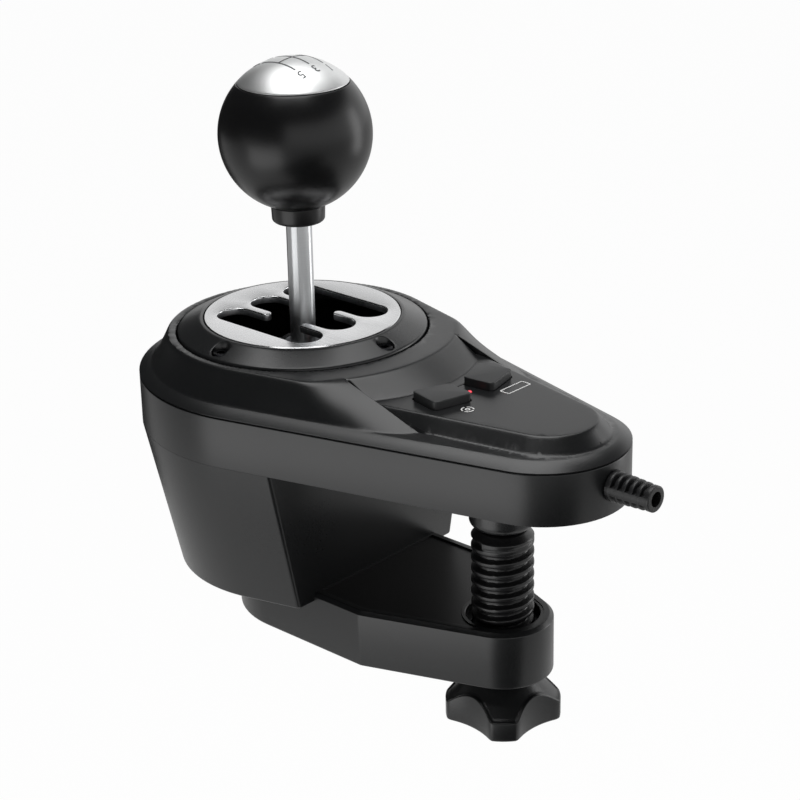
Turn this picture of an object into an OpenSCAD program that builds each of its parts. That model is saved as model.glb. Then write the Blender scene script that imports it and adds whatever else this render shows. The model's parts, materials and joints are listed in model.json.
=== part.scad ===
// Clamp-on gear shifter for a driving simulator: millimetres, +Z up, +Y towards the nose.
// The origin is on the clamp screw's axis, at the face that lies on the desk.

/* [Body] */
// Radius of the round end that carries the lever
back_r = 55; // [52:0.5:60]
// Radius of the nose
nose_r = 27.5; // [26:0.5:30]
// From the lever's axis to the clamp screw's axis
lever_to_screw = 86.5; // [84:0.5:92]
// From the clamp screw's axis to the centre of the nose
nose_to_screw = 16; // [14:0.5:20]
// Height of the body's side wall up to the seam
band_h = 16.9; // [16:0.1:20]
// Thickness of the moulded walls
wall = 2.5; // [2:0.1:3]
// Thickness of the body's floor
floor_t = 2.5; // [2:0.1:3]

/* [Top cover] */
// Height of the shadow line between the body and the cover
seam_gap = 0.5; // [0.3:0.1:0.8]
// Depth of the shadow line
seam_in = 0.6; // [0.3:0.1:0.8]
// Width of the rounded shoulder
shoulder_in = 4.3; // [3.5:0.1:5]
// Height of the rounded shoulder
shoulder_h = 2.9; // [2.5:0.1:4]
// Width of the dome's sloping side
flank_in = 5.7; // [5:0.1:7]
// Height of the dome's sloping side
flank_h = 10.1; // [9:0.1:12]
// Radius of the dome's flat top at the front
crown_front_r = 52; // [51:0.5:54]
// Half the distance between the two wings
wing_x = 25.7; // [24:0.1:27]
// From the lever's axis to the line that cuts the wings' lower edge
wing_reach = 69.6; // [67:0.1:72]
// Angle of that line from straight ahead
wing_turn = 49.2; // [47:0.1:51]
// Height of the control panel above the shoulder
panel_h = 5; // [4.5:0.1:6]
// Where the dome's front slope meets the control panel, from the lever's axis
panel_back_r = 63.4; // [62:0.1:65]
// Half the control panel's width at its back
panel_back_x = 25.2; // [24:0.1:25.5]
// From the lever's axis to the control panel's back corners
panel_back_y = 60.2; // [58:0.1:62]
// Radius of the control panel's round end
panel_nose_r = 15.2; // [14:0.1:17]
// From the lever's axis to the centre of that round end
panel_nose_y = 105; // [100:0.5:106]
// Width of the slope around the control panel
panel_slope = 4.7; // [4:0.1:5.5]
// Thickness of the control panel
panel_t = 2.5; // [2:0.1:3]
// Thickness of the cover above the shoulder
shelf_t = 2; // [1.6:0.1:2.2]

/* [Gate] */
// Radius of the gate plate
plate_r = 32.7; // [32:0.1:33]
// Thickness of the gate plate
plate_t = 2.3; // [2:0.1:3]
// From the centre column to an outer column
column_x = 15.5; // [15:0.1:16]
// From the gate's centre to the centre of a slot's round end
slot_end_y = 16; // [15:0.1:17]
// Width of a slot
slot_w = 12; // [11.8:0.1:12.4]
// Half the width of the cross channel, up to the fingers' tips
channel_y = 7.5; // [7:0.1:8.5]
// Radius of the gate ring
ring_r = 41.8; // [41:0.1:42.5]
// Height of the gate ring's slope
ring_h = 4.2; // [3.5:0.1:5]
// Height of the gate plate above the ring's edge
plate_proud = 0.2; // [0:0.05:0.5]
// Width of the flat edge around the gate plate
ring_land = 0.9; // [0.6:0.1:1.5]
// Thickness of the gate ring below its slope
ring_base = 1.4; // [1:0.1:2]
// Width of the seat under the gate plate
plate_seat = 3; // [2.5:0.1:3.2]
// Radius of the circle of screws in the gate ring
ring_screw_r = 37.3; // [37:0.1:38]
// Radius of a screw pocket in the gate ring
pocket_r = 3; // [2.9:0.1:3.2]
// Thickness of the ledge that carries the gate ring
ledge_t = 2.5; // [2:0.1:3]
// Inner radius of that ledge
ledge_r = 34; // [33:0.1:34.5]

/* [Lever] */
// Radius of the lever's shaft
shaft_r = 4.25; // [4:0.05:4.3]
// Radius of the ball knob
ball_r = 25; // [23:0.5:27]
// From the gate plate up to the ball's centre
ball_h = 61.2; // [58:0.2:66]
// From the ball's centre up to the edge of its cap
cap_rise = 17.1; // [16:0.1:18]
// Radius of the collar under the ball
collar_r = 8.9; // [8.5:0.1:9.5]
// Height of the collar under the ball
collar_h = 5.8; // [5:0.1:7]
// Radius of the threaded insert in the ball
insert_r = 6.5; // [6:0.1:7]
// Length of the threaded insert
insert_h = 14; // [12:0.5:18]
// From the gate plate down to the lever's pivot
pivot_depth = 55.3; // [54:0.1:57]
// Travel of the lever when it is pushed down
push_travel = 5; // [3:0.5:5]
// From the pivot up to the pin that stops the lever
stop_rise = 24; // [23:0.5:25]
// Radius of that stop pin
stop_pin_r = 1.5; // [1.2:0.1:1.6]
// From the pivot up to the shaft's lower end
shaft_foot_rise = 6; // [5:0.5:7]

/* [Gimbal] */
// Radius of the cradle's pins
cradle_pin_r = 4; // [3.5:0.1:4.2]
// Radius of the yoke's pins
yoke_pin_r = 3; // [2.6:0.1:3.2]
// Half the length of the cradle
cradle_half = 18; // [17.5:0.1:18.5]
// Height of the cradle
cradle_h = 12; // [11:0.5:13]
// Thickness of the cradle's sides across the lever
cradle_wall = 5; // [4.5:0.1:5.2]
// Half the size of the yoke's block
yoke_half = 9; // [8.6:0.1:9.2]
// Height of the yoke's block
yoke_h = 14; // [13:0.5:14.5]
// Outer radius of the yoke's tube
tube_r = 7; // [6.6:0.1:7.2]
// From the pivot down to the yoke's lower end
tube_drop = 17; // [16:0.1:17.5]
// Thickness of the yoke's closed lower end
tube_floor = 4; // [3.5:0.1:4.5]
// Outer radius of the dust dome
dome_r = 44.5; // [44:0.1:45]
// Thickness of the dust dome
dome_t = 2; // [1.6:0.1:2.4]
// Half the angle that the dust dome spans
dome_angle = 31; // [29:0.5:32]
// Radius of the hub on the dust dome
hub_r = 7.5; // [7.2:0.1:9]
// Height of that hub above the dome's top
hub_h = 1.5; // [1:0.1:2.5]
// Radius of the plate that carries the pivots
frame_r = 43; // [42:0.5:43.5]
// Thickness of that plate
frame_t = 4; // [3:0.5:5]
// Radius of the opening in that plate
frame_hole_r = 20; // [19:0.5:22]
// Thickness of the two cheeks under that plate
cheek_t = 5; // [4:0.5:6]
// Half the width of a cheek
cheek_half = 10; // [9:0.5:12]
// Wall of the bushes in the cheeks
bush_wall = 2; // [1.5:0.1:2.5]
// Wire radius of the springs
wire_r = 0.5; // [0.4:0.05:0.55]

/* [Spine and foot] */
// Height of the spine below the lever's pivot
spine_h = 30; // [29:0.5:35]
// How far the spine's sides lean in over its height
spine_in = 10.5; // [9:0.1:11.5]
// From the lever's axis to the spine's front face
spine_front = 31.3; // [31:0.1:33]
// Height of the posts for the screws between the body and the spine
spine_post_h = 12; // [10:0.5:14]
// How far the spine's sides reach down past the foot's top
spine_lap = 3.3; // [2.5:0.1:4]
// Height of the foot
foot_h = 20; // [19:0.5:24]
// Half the foot's width
foot_x = 30.5; // [30:0.1:31.5]
// From the lever's axis to the centre of the foot's round back
foot_back_y = 8; // [6:0.5:9]
// From the clamp screw's axis back to the corner of the foot
foot_corner_y = 35; // [33:0.5:37]
// Radius of the foot's nose
foot_nose_r = 16.4; // [16.2:0.1:18]
// Width of the raised rim around the foot's deck
rim_w = 3.2; // [2.8:0.1:4]
// Depth of the deck below the rim
deck_drop = 0.6; // [0.4:0.1:1]
// Thickness of the deck plate
deck_t = 1; // [0.8:0.1:1.2]
// Thickness of the foot's top
foot_top_t = 3; // [2.8:0.1:4]
// From the lever's axis back to the rear screws in the foot's top
foot_screw_back = 2; // [0:0.5:4]
// From the lever's axis forward to the front screws in the foot's top
foot_screw_front = 22; // [20:0.5:24]
// From the lever's axis forward to the rear screws in the foot's base
base_screw_back = 10; // [8:0.5:12]
// From the lever's axis forward to the front screws in the foot's base
base_screw_front = 42; // [38:0.5:44]

/* [Clamp] */
// How far the rubber pad stands out under the body
pad_proud = 1; // [0.8:0.1:1.5]
// Thickness of the rubber pad under the body
jaw_pad_t = 2; // [1.8:0.1:2.3]
// From the body's edge in to the rubber pad
jaw_pad_in = 5; // [4:0.5:7]
// Radius of the clamp screw's thread at its crest
screw_r = 10.1; // [9.8:0.05:10.2]
// Depth of the thread
thread_depth = 1.8; // [1.5:0.1:1.9]
// Pitch of the thread, turning right-handed
thread_pitch = 4; // [3.5:0.5:4.5]
// Radius of the hole in the foot around the screw
screw_hole_r = 12; // [11.5:0.1:12.4]
// Radius of the threaded nut in the foot
nut_r = 13.5; // [13:0.1:13.6]
// Clearance between the nut's thread and the screw's thread
thread_gap = 0.35; // [0.35:0.05:0.4]
// Radius of the swivel pad
swivel_r = 10.7; // [10.2:0.1:11.5]
// Radius of the swivel pad at its lower edge
swivel_foot_r = 8.2; // [8:0.1:8.6]
// Height of the swivel pad without its facing
swivel_h = 9.1; // [9:0.1:10]
// Thickness of the rubber facing on the swivel pad
facing_t = 1.6; // [1.2:0.1:2]
// From the desk face down to the swivel pad's facing
swivel_drop = 5; // [4.6:0.1:6]
// Radius of the ball on the screw's end
screw_ball_r = 4.9; // [4.6:0.1:5]
// From the swivel pad's lower edge up to the ball's centre
screw_ball_rise = 3.2; // [3:0.1:3.3]
// Radius of the neck under that ball
screw_neck_r = 3.6; // [3.2:0.1:3.7]
// From the swivel pad's lower edge down to the thread
thread_drop = 1.2; // [1:0.1:2]
// Radius of the star knob's lobes
star_r = 18.8; // [18.4:0.1:20]
// Height of the star knob
star_h = 16.4; // [15:0.1:18]
// Height of a lobe's outer face
lobe_h = 7.1; // [6.5:0.1:8.5]
// Radius of the star knob's flat top
star_top_r = 10; // [9:0.1:10.5]
// Number of lobes on the star knob
star_lobes = 4; // [4:1:5]
// Angle of the first flute, from +X
star_turn = 86; // [0:1:90]
// Radius of a flute between two lobes
flute_r = 25; // [23:0.5:27]
// From the star knob's axis to the centre of a flute
flute_reach = 39.2; // [38.5:0.1:40]
// Gap between the star knob and the foot
star_gap = 1.3; // [1.3:0.1:3]
// Radius of the screw's shank in the star knob
shank_r = 7; // [6.5:0.1:7.2]
// Length of the screw's shank in the star knob
shank_h = 12; // [10:0.5:13]

/* [Panel parts] */
// Height of the buttons above the panel
button_proud = 2.7; // [2:0.1:3]
// Travel of a button
button_travel = 0.8; // [0.5:0.1:0.9]
// Rounding of a button's corners
button_round = 1.2; // [0.8:0.1:1.4]
// Clearance around a button
button_gap = 0.35; // [0.3:0.05:0.5]
// Width of the lip that keeps a button in
button_lip = 1.2; // [0.8:0.1:1.2]
// Thickness of that lip
button_lip_t = 1.5; // [1.2:0.1:1.8]
// Length of the stem under a button
button_stem = 2.1; // [1.8:0.1:2.2]
// Side of a push switch
switch_w = 6; // [5:0.5:7]
// Height of a push switch's case
switch_h = 3.4; // [3:0.1:3.6]
// Radius of the signal lamp
lamp_r = 1.5; // [1:0.1:2]
// From the lever's axis to the signal lamp
lamp_y = 73.2; // [72.5:0.1:73.5]
// Thickness of the circuit boards
board_t = 1.6; // [1.2:0.1:2]
// Half the width of the panel's circuit board
board_x = 22; // [20:0.5:23]
// From the clamp screw's axis back to the board's rear edge
board_back_y = 30; // [28:0.5:32]
// From the clamp screw's axis forward to the board's front edge
board_front_y = 4; // [3:0.5:6]
// Half the width of the sensor board
sensor_x = 18; // [17:0.5:18.5]
// Half the length of the sensor board
sensor_y = 18; // [16:0.5:20]
// Height of the posts under the sensor board
sensor_post = 2; // [1.6:0.1:2.2]
// Radius of the magnet in the yoke
magnet_r = 3; // [2.5:0.1:3.2]
// Thickness of the magnet
magnet_t = 2.4; // [2:0.1:2.5]

/* [Cable outlet] */
// Height of the cable outlet above the desk face
relief_z = 10.3; // [10:0.1:11]
// Radius of the cable outlet at the body
relief_r = 5; // [4.8:0.1:5.5]
// Radius of the cable outlet at its end
relief_end_r = 4.1; // [4:0.1:4.5]
// Length of the cable outlet outside the body
relief_len = 15.7; // [14:0.1:18]
// Radius of the cable's bore
cable_r = 2.5; // [2:0.1:2.6]
// Radius of the neck in the body's wall
relief_neck_r = 3.9; // [3.7:0.1:4.2]
// Number of ribs on the cable outlet
relief_ribs = 5; // [3:1:6]
// Width of the gap between two ribs
rib_gap = 1.3; // [1:0.1:1.5]
// Wall left around the cable's bore in a gap
rib_core = 0.4; // [0.3:0.1:0.8]
// Half the width of the web that joins the ribs on each side
web_half = 1.3; // [1:0.1:2]

/* [Screws and fits] */
// Radius of the small screws
bolt_r = 1.45; // [1.2:0.05:1.5]
// Radius of a small screw's head
bolt_head_r = 2.6; // [2.4:0.1:2.7]
// Height of a small screw's head
bolt_head_h = 1.4; // [1.2:0.1:1.6]
// Radius of the posts that take a small screw
post_r = 3.5; // [3.2:0.1:3.6]
// How deep a screw goes into a post of the foot
screw_bite = 8; // [6:0.5:10]
// How deep a screw goes into a post of the panel's board
board_bite = 5; // [4:0.5:6]
// Clearance of a screw in the hole that it passes through
pass_gap = 0.25; // [0.2:0.05:0.3]
// Clearance between a screw and the post that it bites into
bite_gap = 0.05; // [0.03:0.01:0.06]
// Running clearance of a pin in its bearing
run_gap = 0.05; // [0.03:0.01:0.06]
// Clearance of a piece that is pressed or glued into another
fit_gap = 0.02; // [0.01:0.01:0.03]
// Clearance between loose housings
case_gap = 0.3; // [0.25:0.05:0.35]

/* [Hidden] */
$fn = 96;
// A length that carries a cut clear of the faces it opens
clear = 1;
// Sides of the small swept shapes
wire_sides = 6;
thread_sides = 18;
outline_steps = 4.8;
// How far a straight side stands inside the round ends that it joins
side_in = 0.02;
// Places along the body
lever_y = -lever_to_screw;
lean = asin((back_r - nose_r) / (lever_to_screw + nose_to_screw));
side_len = (lever_to_screw + nose_to_screw) * cos(lean);
spine_y = lever_y + spine_front;
nose_tip_y = nose_to_screw + nose_r;
// Heights of the body and the cover
body_z = pad_proud;
floor_z = body_z + floor_t;
seam_z = body_z + band_h;
crease_z = seam_z + shoulder_h;
crown_z = crease_z + flank_h;
panel_z = crease_z + panel_h;
plate_z = crown_z + ring_h + plate_proud;
ledge_z = crown_z - ring_base;
shelf_z = crease_z - shelf_t;
// Heights of the lever
pivot_z = plate_z - pivot_depth;
ball_z = plate_z + ball_h;
ball_flat_z = ball_z - sqrt(ball_r * ball_r - collar_r * collar_r);
collar_z = ball_flat_z - collar_h;
insert_z = ball_flat_z + insert_h;
stop_z = pivot_z + stop_rise;
shaft_foot_z = pivot_z + shaft_foot_rise;
tube_low_z = pivot_z - tube_drop;
tube_floor_z = tube_low_z + tube_floor;
dome_top_z = pivot_z + dome_r;
shoulder_z = dome_top_z - dome_t - clear;
hub_top_z = dome_top_z + hub_h;
neck_r = tube_r - 1;
bore_r = shaft_r + run_gap;
// Places of the gimbal across the lever
pin_flange_t = 2;
pin_flange_r = cradle_pin_r + 2;
bush_x = cradle_half + pin_flange_t + case_gap;
bush_flange_t = 0.6;
bush_flange_r = cradle_pin_r + run_gap + bush_wall + 2;
cheek_x = bush_x + bush_flange_t;
cheek_drop = cradle_pin_r + bush_wall + 4;
bush_r = cradle_pin_r + run_gap + bush_wall;
cradle_side = cradle_half - cradle_wall;
cradle_end = 12.4;
yoke_pin_in = bore_r + 1.2;
// Heights of the spine and the foot
spine_low_z = pivot_z - spine_h;
foot_z = spine_low_z + spine_lap;
spine_floor_z = foot_z + foot_top_t;
foot_low_z = foot_z - foot_h;
base_z = foot_low_z + wall;
deck_z = foot_z - deck_drop;
deck_low_z = deck_z - deck_t;
nut_z = foot_z - foot_top_t;
foot_back = lever_y + foot_back_y;
// Heights of the clamp
facing_z = -swivel_drop;
swivel_z = facing_z - facing_t;
swivel_low_z = swivel_z - swivel_h;
screw_ball_z = swivel_low_z + screw_ball_rise;
thread_z = swivel_low_z - thread_drop;
star_z = foot_low_z - star_gap;
star_low_z = star_z - star_h;
shank_low_z = star_z - shank_h;
root_r = screw_r - thread_depth;
// Heights under the panel
panel_under_z = panel_z - panel_t;
button_z = panel_z + button_proud;
lip_z = panel_under_z - 0.5;
lip_low_z = lip_z - button_lip_t;
stem_low_z = lip_low_z - button_stem;
switch_play = 0.2;
plunger_h = 0.2;
switch_top_z = stem_low_z - button_travel - switch_play - plunger_h;
board_z = switch_top_z - switch_h;
board_low_z = board_z - board_t;
sensor_z = spine_floor_z + sensor_post;
// The corners of the right button and the middle of it, from the lever's axis
button_corners = [[5, 68.7], [14.6, 64.8], [16.8, 74.1], [6, 76.8]];
button_mid = [10.6, 71.1];
// Places of the small screws: angles about the lever's axis, or points
frame_angles = [30, 150, 210, 330];
frame_screw_r = frame_r - bolt_head_r - 0.4;
lever_hole_r = frame_screw_r - bolt_head_r - clear;
rear_post_r = back_r - wall - post_r - clear;
rear_post_angles = [230, 310];
spine_angles = [20, 160, 200, 340];
front_post = [17, 14];
board_points = [for (x = [-1, 1], y = [post_r - board_back_y, board_front_y - post_r])
  [x * (board_x - post_r), y]];
sensor_points = [for (x = [-1, 1], y = [-1, 1])
  [x * (sensor_x - post_r), lever_y + y * (sensor_y - post_r)]];
foot_screw_x = foot_x - wall - post_r;
foot_points = [for (x = [-1, 1], y = [-foot_screw_back, foot_screw_front]) [x * foot_screw_x, lever_y + y]];
base_points = [for (x = [-1, 1], y = [base_screw_back, base_screw_front]) [x * foot_screw_x, lever_y + y]];

function polar(r, a) = [r * cos(a), r * sin(a)];

// The body's outline seen from above, moved in by d: two arcs and the lines that touch both
function arc(y, r, from, to) =
  [for (i = [0 : ceil((to - from) / outline_steps)])
    [0, y] + polar(r, from + (to - from) * i / ceil((to - from) / outline_steps))];
function body_outline(d) = concat(
  arc(nose_to_screw, nose_r - d, lean, 180 - lean),
  arc(lever_y, back_r - d, 180 - lean, 360 + lean));

// A closed skin over rings of points that are stacked upwards
function skin_faces(n, rows) = concat(
  [[for (i = [0 : n - 1]) i], [for (i = [n - 1 : -1 : 0]) (rows - 1) * n + i]],
  [for (j = [0 : rows - 2], i = [0 : n - 1]) [j * n + i, (j + 1) * n + i, (j + 1) * n + (i + 1) % n]],
  [for (j = [0 : rows - 2], i = [0 : n - 1]) [j * n + i, (j + 1) * n + (i + 1) % n, j * n + (i + 1) % n]]);
module skin(rings) {
  polyhedron([for (ring = rings) each ring], skin_faces(len(rings[0]), len(rings)));
}
function raised(outline, z) = [for (p = outline) [p[0], p[1], z]];

// The body's outline as a straight solid
module band(d, low, high) {
  translate([0, 0, low]) linear_extrude(high - low) {
    translate([0, lever_y]) circle(back_r - d);
    translate([0, nose_to_screw]) circle(nose_r - d);
    polygon([for (end = [[lever_y, back_r, lean], [nose_to_screw, nose_r, lean],
        [nose_to_screw, nose_r, 180 - lean], [lever_y, back_r, 180 - lean]])
      [0, end[0]] + polar(end[1] - d - side_in, end[2])]);
  }
}

// Everything on one side of a line across the body
module behind(y) translate([-2 * back_r, y - 4 * back_r, -4 * back_r])
  cube([4 * back_r, 4 * back_r, 8 * back_r]);

module at_lever(z = 0) translate([0, lever_y, z]) children();
module around_lever(r, angles, z = 0) for (a = angles) at_lever()
  translate(concat(polar(r, a), z)) children();
module at_points(points, z = 0) for (p = points) translate([p[0], p[1], z]) children();
module both_sides() for (side = [0, 1]) mirror([side, 0, 0]) children();

// A small screw whose head's seat is at the origin and whose shank points down
module bolt(length) {
  difference() {
    cylinder(h = bolt_head_h, r = bolt_head_r, $fn = 32);
    translate([0, 0, bolt_head_h / 2]) cylinder(h = bolt_head_h, r = bolt_r, $fn = 6);
  }
  translate([0, 0, -length]) cylinder(h = length + bolt_head_h / 4, r = bolt_r, $fn = 32);
}
module pass_hole(low, high) translate([0, 0, low]) cylinder(h = high - low, r = bolt_r + pass_gap, $fn = 32);
module bite_hole(low, high) translate([0, 0, low]) cylinder(h = high - low, r = bolt_r + bite_gap, $fn = 32);
module post(low, high) translate([0, 0, low]) cylinder(h = high - low, r = post_r, $fn = 48);

// A wire wound round the Z axis, with closed ends
module coil(r, wire, turns, height) {
  steps = 12;
  rows = turns * steps + 1;
  skin([for (i = [0 : rows - 1]) [for (k = [0 : wire_sides - 1])
    let (a = 360 * i / steps, p = 360 * k / wire_sides, out = r + wire * cos(p))
      [out * cos(a), out * sin(a), height * i / (rows - 1) - wire * sin(p)]]]);
}

// A right-handed thread as one solid: each turn is a root and a crest
function thread_point(step, k, root, crest, widen) =
  let (
    share = [widen, 0.3 - widen, 0.45 - widen, 0.85 + widen][k],
    r = k < 2 ? root : crest,
    a = 360 * step / thread_sides)
  [r * cos(a), r * sin(a), thread_pitch * (step / thread_sides + share)];
module thread(root, crest, widen, turns) {
  steps = turns * thread_sides;
  ring = thread_sides;
  points = [for (s = [0 : steps + ring], k = [0 : 3]) thread_point(s, k, root, crest, widen)];
  low = len(points);
  high = low + 1;
  function id(s, k) = k < 4 ? 4 * s + k : 4 * (s + ring);
  bottom = concat([for (s = [0 : ring - 1]) [id(s, 0), id(s + 1, 0), low]],
    [for (k = [0 : 3]) [id(0, k + 1), id(0, k), low]]);
  top = concat([for (s = [steps : steps + ring - 1]) [id(s + 1, 0), id(s, 0), high]],
    [for (k = [0 : 3]) [id(steps, k), id(steps, k + 1), high]]);
  sides = [for (s = [0 : steps - 1], k = [0 : 3], half = [0, 1])
    half == 0 ? [id(s, k), id(s, k + 1), id(s + 1, k + 1)] : [id(s, k), id(s + 1, k + 1), id(s + 1, k)]];
  polyhedron(
    concat(points, [[0, 0, 0], [0, 0, thread_pitch * (turns + 1)]]),
    concat(bottom, sides, top));
}

module main_body() color("#3a3a3b") difference() {
  union() {
    difference() {
      band(0, body_z, seam_z);
      band(wall, floor_z, seam_z + clear);
    }
    around_lever(rear_post_r, rear_post_angles) post(floor_z - clear, seam_z);
    both_sides() translate(front_post) post(floor_z - clear, seam_z);
    at_points(board_points) post(floor_z - clear, board_low_z);
  }
  at_lever(body_z - clear) cylinder(h = floor_t + 2 * clear, r = lever_hole_r);
  difference() {
    band(jaw_pad_in - case_gap / 2, body_z - clear, jaw_pad_t);
    behind(spine_y + case_gap);
  }
  around_lever(rear_post_r, rear_post_angles) cover_screw_holes(body_z);
  both_sides() translate(front_post) cover_screw_holes(jaw_pad_t);
  around_lever(rear_post_r, spine_angles) pass_hole(body_z - clear, floor_z + clear);
  around_lever(frame_screw_r, frame_angles) pass_hole(body_z - clear, floor_z + clear);
  at_points(board_points) bite_hole(floor_z, board_low_z + clear);
  translate([0, nose_to_screw, relief_z]) rotate([-90, 0, 0])
    cylinder(h = nose_r + clear, r = relief_neck_r + fit_gap);
}
module cover_screw_holes(face_z) {
  pass_hole(body_z - clear, seam_z + clear);
  translate([0, 0, body_z - clear])
    cylinder(h = face_z - body_z + clear + bolt_head_h, r = bolt_head_r + pass_gap, $fn = 32);
}

// The dome's outlines, as distances from the lever's axis at an angle from straight ahead
function line_reach(a, r) = abs(a) < 90 - lean ? r / cos(90 - lean - abs(a)) : r;
function crown_reach(a) = min(line_reach(a, back_r - shoulder_in - flank_in), crown_front_r);
function skirt_reach(a) = min(
  line_reach(a, back_r - shoulder_in), wing_reach / cos(min(80, abs(wing_turn - abs(a)))));
dome_points = 120;
// The side curves in a little on its way down to the shoulder
flank_bend = 1.3;
function dome_ring(up) = [for (i = [0 : dome_points - 1])
  let (
    a = 180 - 360 * (i + 0.5) / dome_points,
    reach = crown_reach(a) + (skirt_reach(a) - crown_reach(a)) * pow(1 - max(0, up), flank_bend))
  [reach * sin(a), lever_y + reach * cos(a), crease_z + flank_h * up]];
module dome() skin([for (up = [-0.15, 0, 0.25, 0.5, 0.75, 1]) dome_ring(up)]);

// The control panel's outline, moved out by d
panel_lean = atan((panel_back_x - panel_nose_r) / (panel_nose_y - panel_back_y));
function panel_outline(d, back_y) = concat(
  [[panel_side_x(back_y) + d / cos(panel_lean), lever_y + back_y]],
  arc(lever_y + panel_nose_y, panel_nose_r + d, panel_lean, 180 - panel_lean),
  [[-panel_side_x(back_y) - d / cos(panel_lean), lever_y + back_y]]);
function panel_side_x(y) = panel_nose_r / cos(panel_lean) + (panel_nose_y - y) * tan(panel_lean);
module button_form(grow, low, high) translate([0, lever_y, low]) hull()
  for (p = button_corners) translate(p) cylinder(h = high - low, r = button_round + grow, $fn = 32);

module top_cover() color("#434344") difference() {
  union() {
    skin(concat(
      [raised(body_outline(seam_in), seam_z), raised(body_outline(seam_in), seam_z + seam_gap)],
      [for (t = [0 : 15 : 90])
        raised(body_outline(shoulder_in * (1 - cos(t))),
          seam_z + seam_gap + (shoulder_h - seam_gap) * sin(t))]));
    difference() {
      dome();
      front_lane();
    }
    intersection() {
      at_lever() rotate_extrude() polygon([
        [0, seam_z + clear], [crown_front_r, seam_z + clear], [panel_back_r + panel_slope, seam_z + clear],
        [panel_back_r, panel_z], [crown_front_r, crown_z], [0, crown_z]]);
      front_lane();
    }
    skin([
      raised(panel_outline(panel_slope + clear * panel_slope / panel_h, crown_front_r - 4 * clear),
        crease_z - clear),
      raised(panel_outline(0, crown_front_r - 4 * clear), panel_z)]);
  }
  band(wall, seam_z - clear, shelf_z);
  at_lever() rotate_extrude() polygon([
    [0, seam_z - clear], [crown_front_r - 2 * wall, seam_z - clear], [crown_front_r - 2 * wall, shelf_z],
    [ring_r, ledge_z - ledge_t], [0, ledge_z - ledge_t]]);
  translate([0, 0, seam_z - clear]) linear_extrude(panel_under_z - seam_z + clear)
    polygon(panel_outline(-0.5, crown_front_r - 4 * wall));
  at_lever() {
    translate([0, 0, seam_z]) cylinder(h = flank_h + shoulder_h + clear, r = ledge_r);
    translate([0, 0, ledge_z]) cylinder(h = ring_base + clear, r = ring_r + case_gap);
  }
  around_lever(ring_screw_r, [0, 90, 180, 270]) bite_hole(ledge_z - ledge_t - clear, ledge_z + clear);
  around_lever(rear_post_r, rear_post_angles) bite_hole(seam_z - clear, crease_z + clear);
  both_sides() {
    translate(front_post) bite_hole(seam_z - clear, crease_z + clear);
    button_form(button_gap, panel_under_z - clear, panel_z + clear);
  }
  at_lever(panel_under_z - clear) translate([0, lamp_y])
    cylinder(h = panel_t + 2 * clear, r = lamp_r + pass_gap, $fn = 32);
}
// The lane between the wings, ahead of the lever
module front_lane() translate([-wing_x, lever_y, seam_z])
  cube([2 * wing_x, back_r + lever_to_screw, crown_z]);

function spine_inset(z) = spine_in * (body_z - z) / (body_z - spine_low_z);
module spine_form(d, low, high)
  skin([for (z = [low, high]) raised(body_outline(spine_inset(z) + d), z)]);
module spine_shell() color("#39393a") difference() {
  intersection() {
    spine_form(0, spine_low_z, body_z);
    behind(spine_y);
  }
  difference() {
    intersection() {
      spine_form(wall, spine_floor_z, body_z + clear);
      behind(spine_y - wall);
    }
    at_points(sensor_points) post(spine_floor_z - clear, sensor_z);
    around_lever(rear_post_r, spine_angles) post(body_z - spine_post_h, body_z);
  }
  spine_form(wall, spine_low_z - clear, foot_z);
  at_points(foot_points) pass_hole(foot_z - clear, spine_floor_z + clear);
  at_points(sensor_points) bite_hole(spine_floor_z, sensor_z + clear);
  around_lever(rear_post_r, spine_angles) bite_hole(body_z - spine_post_h + clear, body_z + clear);
}

// The foot's outline seen from above, moved in by d
function foot_corner(d) = [foot_x - d, -foot_corner_y - d * tan(foot_lean / 2)];
foot_reach = norm([foot_x, foot_corner_y]);
foot_lean = atan(foot_x / foot_corner_y) - asin(foot_nose_r / foot_reach);
module foot_outline(d) {
  translate([0, foot_back]) circle(foot_x - d);
  circle(foot_nose_r - d);
  polygon([
    [foot_x - d - side_in, foot_back], foot_corner(d), polar(foot_nose_r - d - side_in, foot_lean),
    polar(foot_nose_r - d - side_in, 180 - foot_lean), [-foot_corner(d)[0], foot_corner(d)[1]],
    [d + side_in - foot_x, foot_back]
  ]);
}
module foot_form(d, low, high) translate([0, 0, low]) linear_extrude(high - low) foot_outline(d);
module deck_form(d, low, high) difference() {
  foot_form(rim_w + d, low, high);
  behind(spine_y + case_gap + d);
  translate([0, 0, low - clear]) cylinder(h = high - low + 2 * clear, r = screw_hole_r + wall / 2 + d);
}
module foot_shell() color("#414142") difference() {
  union() {
    difference() {
      foot_form(0, foot_low_z, foot_z);
      foot_form(wall, foot_low_z - clear, nut_z);
    }
    translate([0, 0, base_z]) cylinder(h = foot_z - base_z - clear, r = foot_nose_r);
    at_points(concat(foot_points, base_points)) post(base_z, foot_z - clear);
  }
  deck_form(0, deck_low_z, foot_z + clear);
  translate([0, 0, foot_low_z - clear]) cylinder(h = nut_z - foot_low_z + clear, r = nut_r + fit_gap);
  translate([0, 0, nut_z - clear]) cylinder(h = foot_top_t + 2 * clear, r = screw_hole_r);
  at_points(foot_points) bite_hole(base_z + clear, foot_z + clear);
  at_points(base_points) bite_hole(base_z - clear, nut_z);
}
module foot_deck() color("#161617") deck_form(case_gap / 2, deck_low_z, deck_z);
module foot_base() color("#2a2a2b") difference() {
  foot_form(wall + case_gap / 2, foot_low_z, base_z);
  translate([0, 0, foot_low_z - clear]) cylinder(h = wall + 2 * clear, r = screw_r + clear);
  at_points(base_points) {
    pass_hole(foot_low_z - clear, base_z + clear);
    translate([0, 0, foot_low_z - clear])
      cylinder(h = clear + bolt_head_h, r = bolt_head_r + pass_gap, $fn = 32);
  }
}
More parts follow.
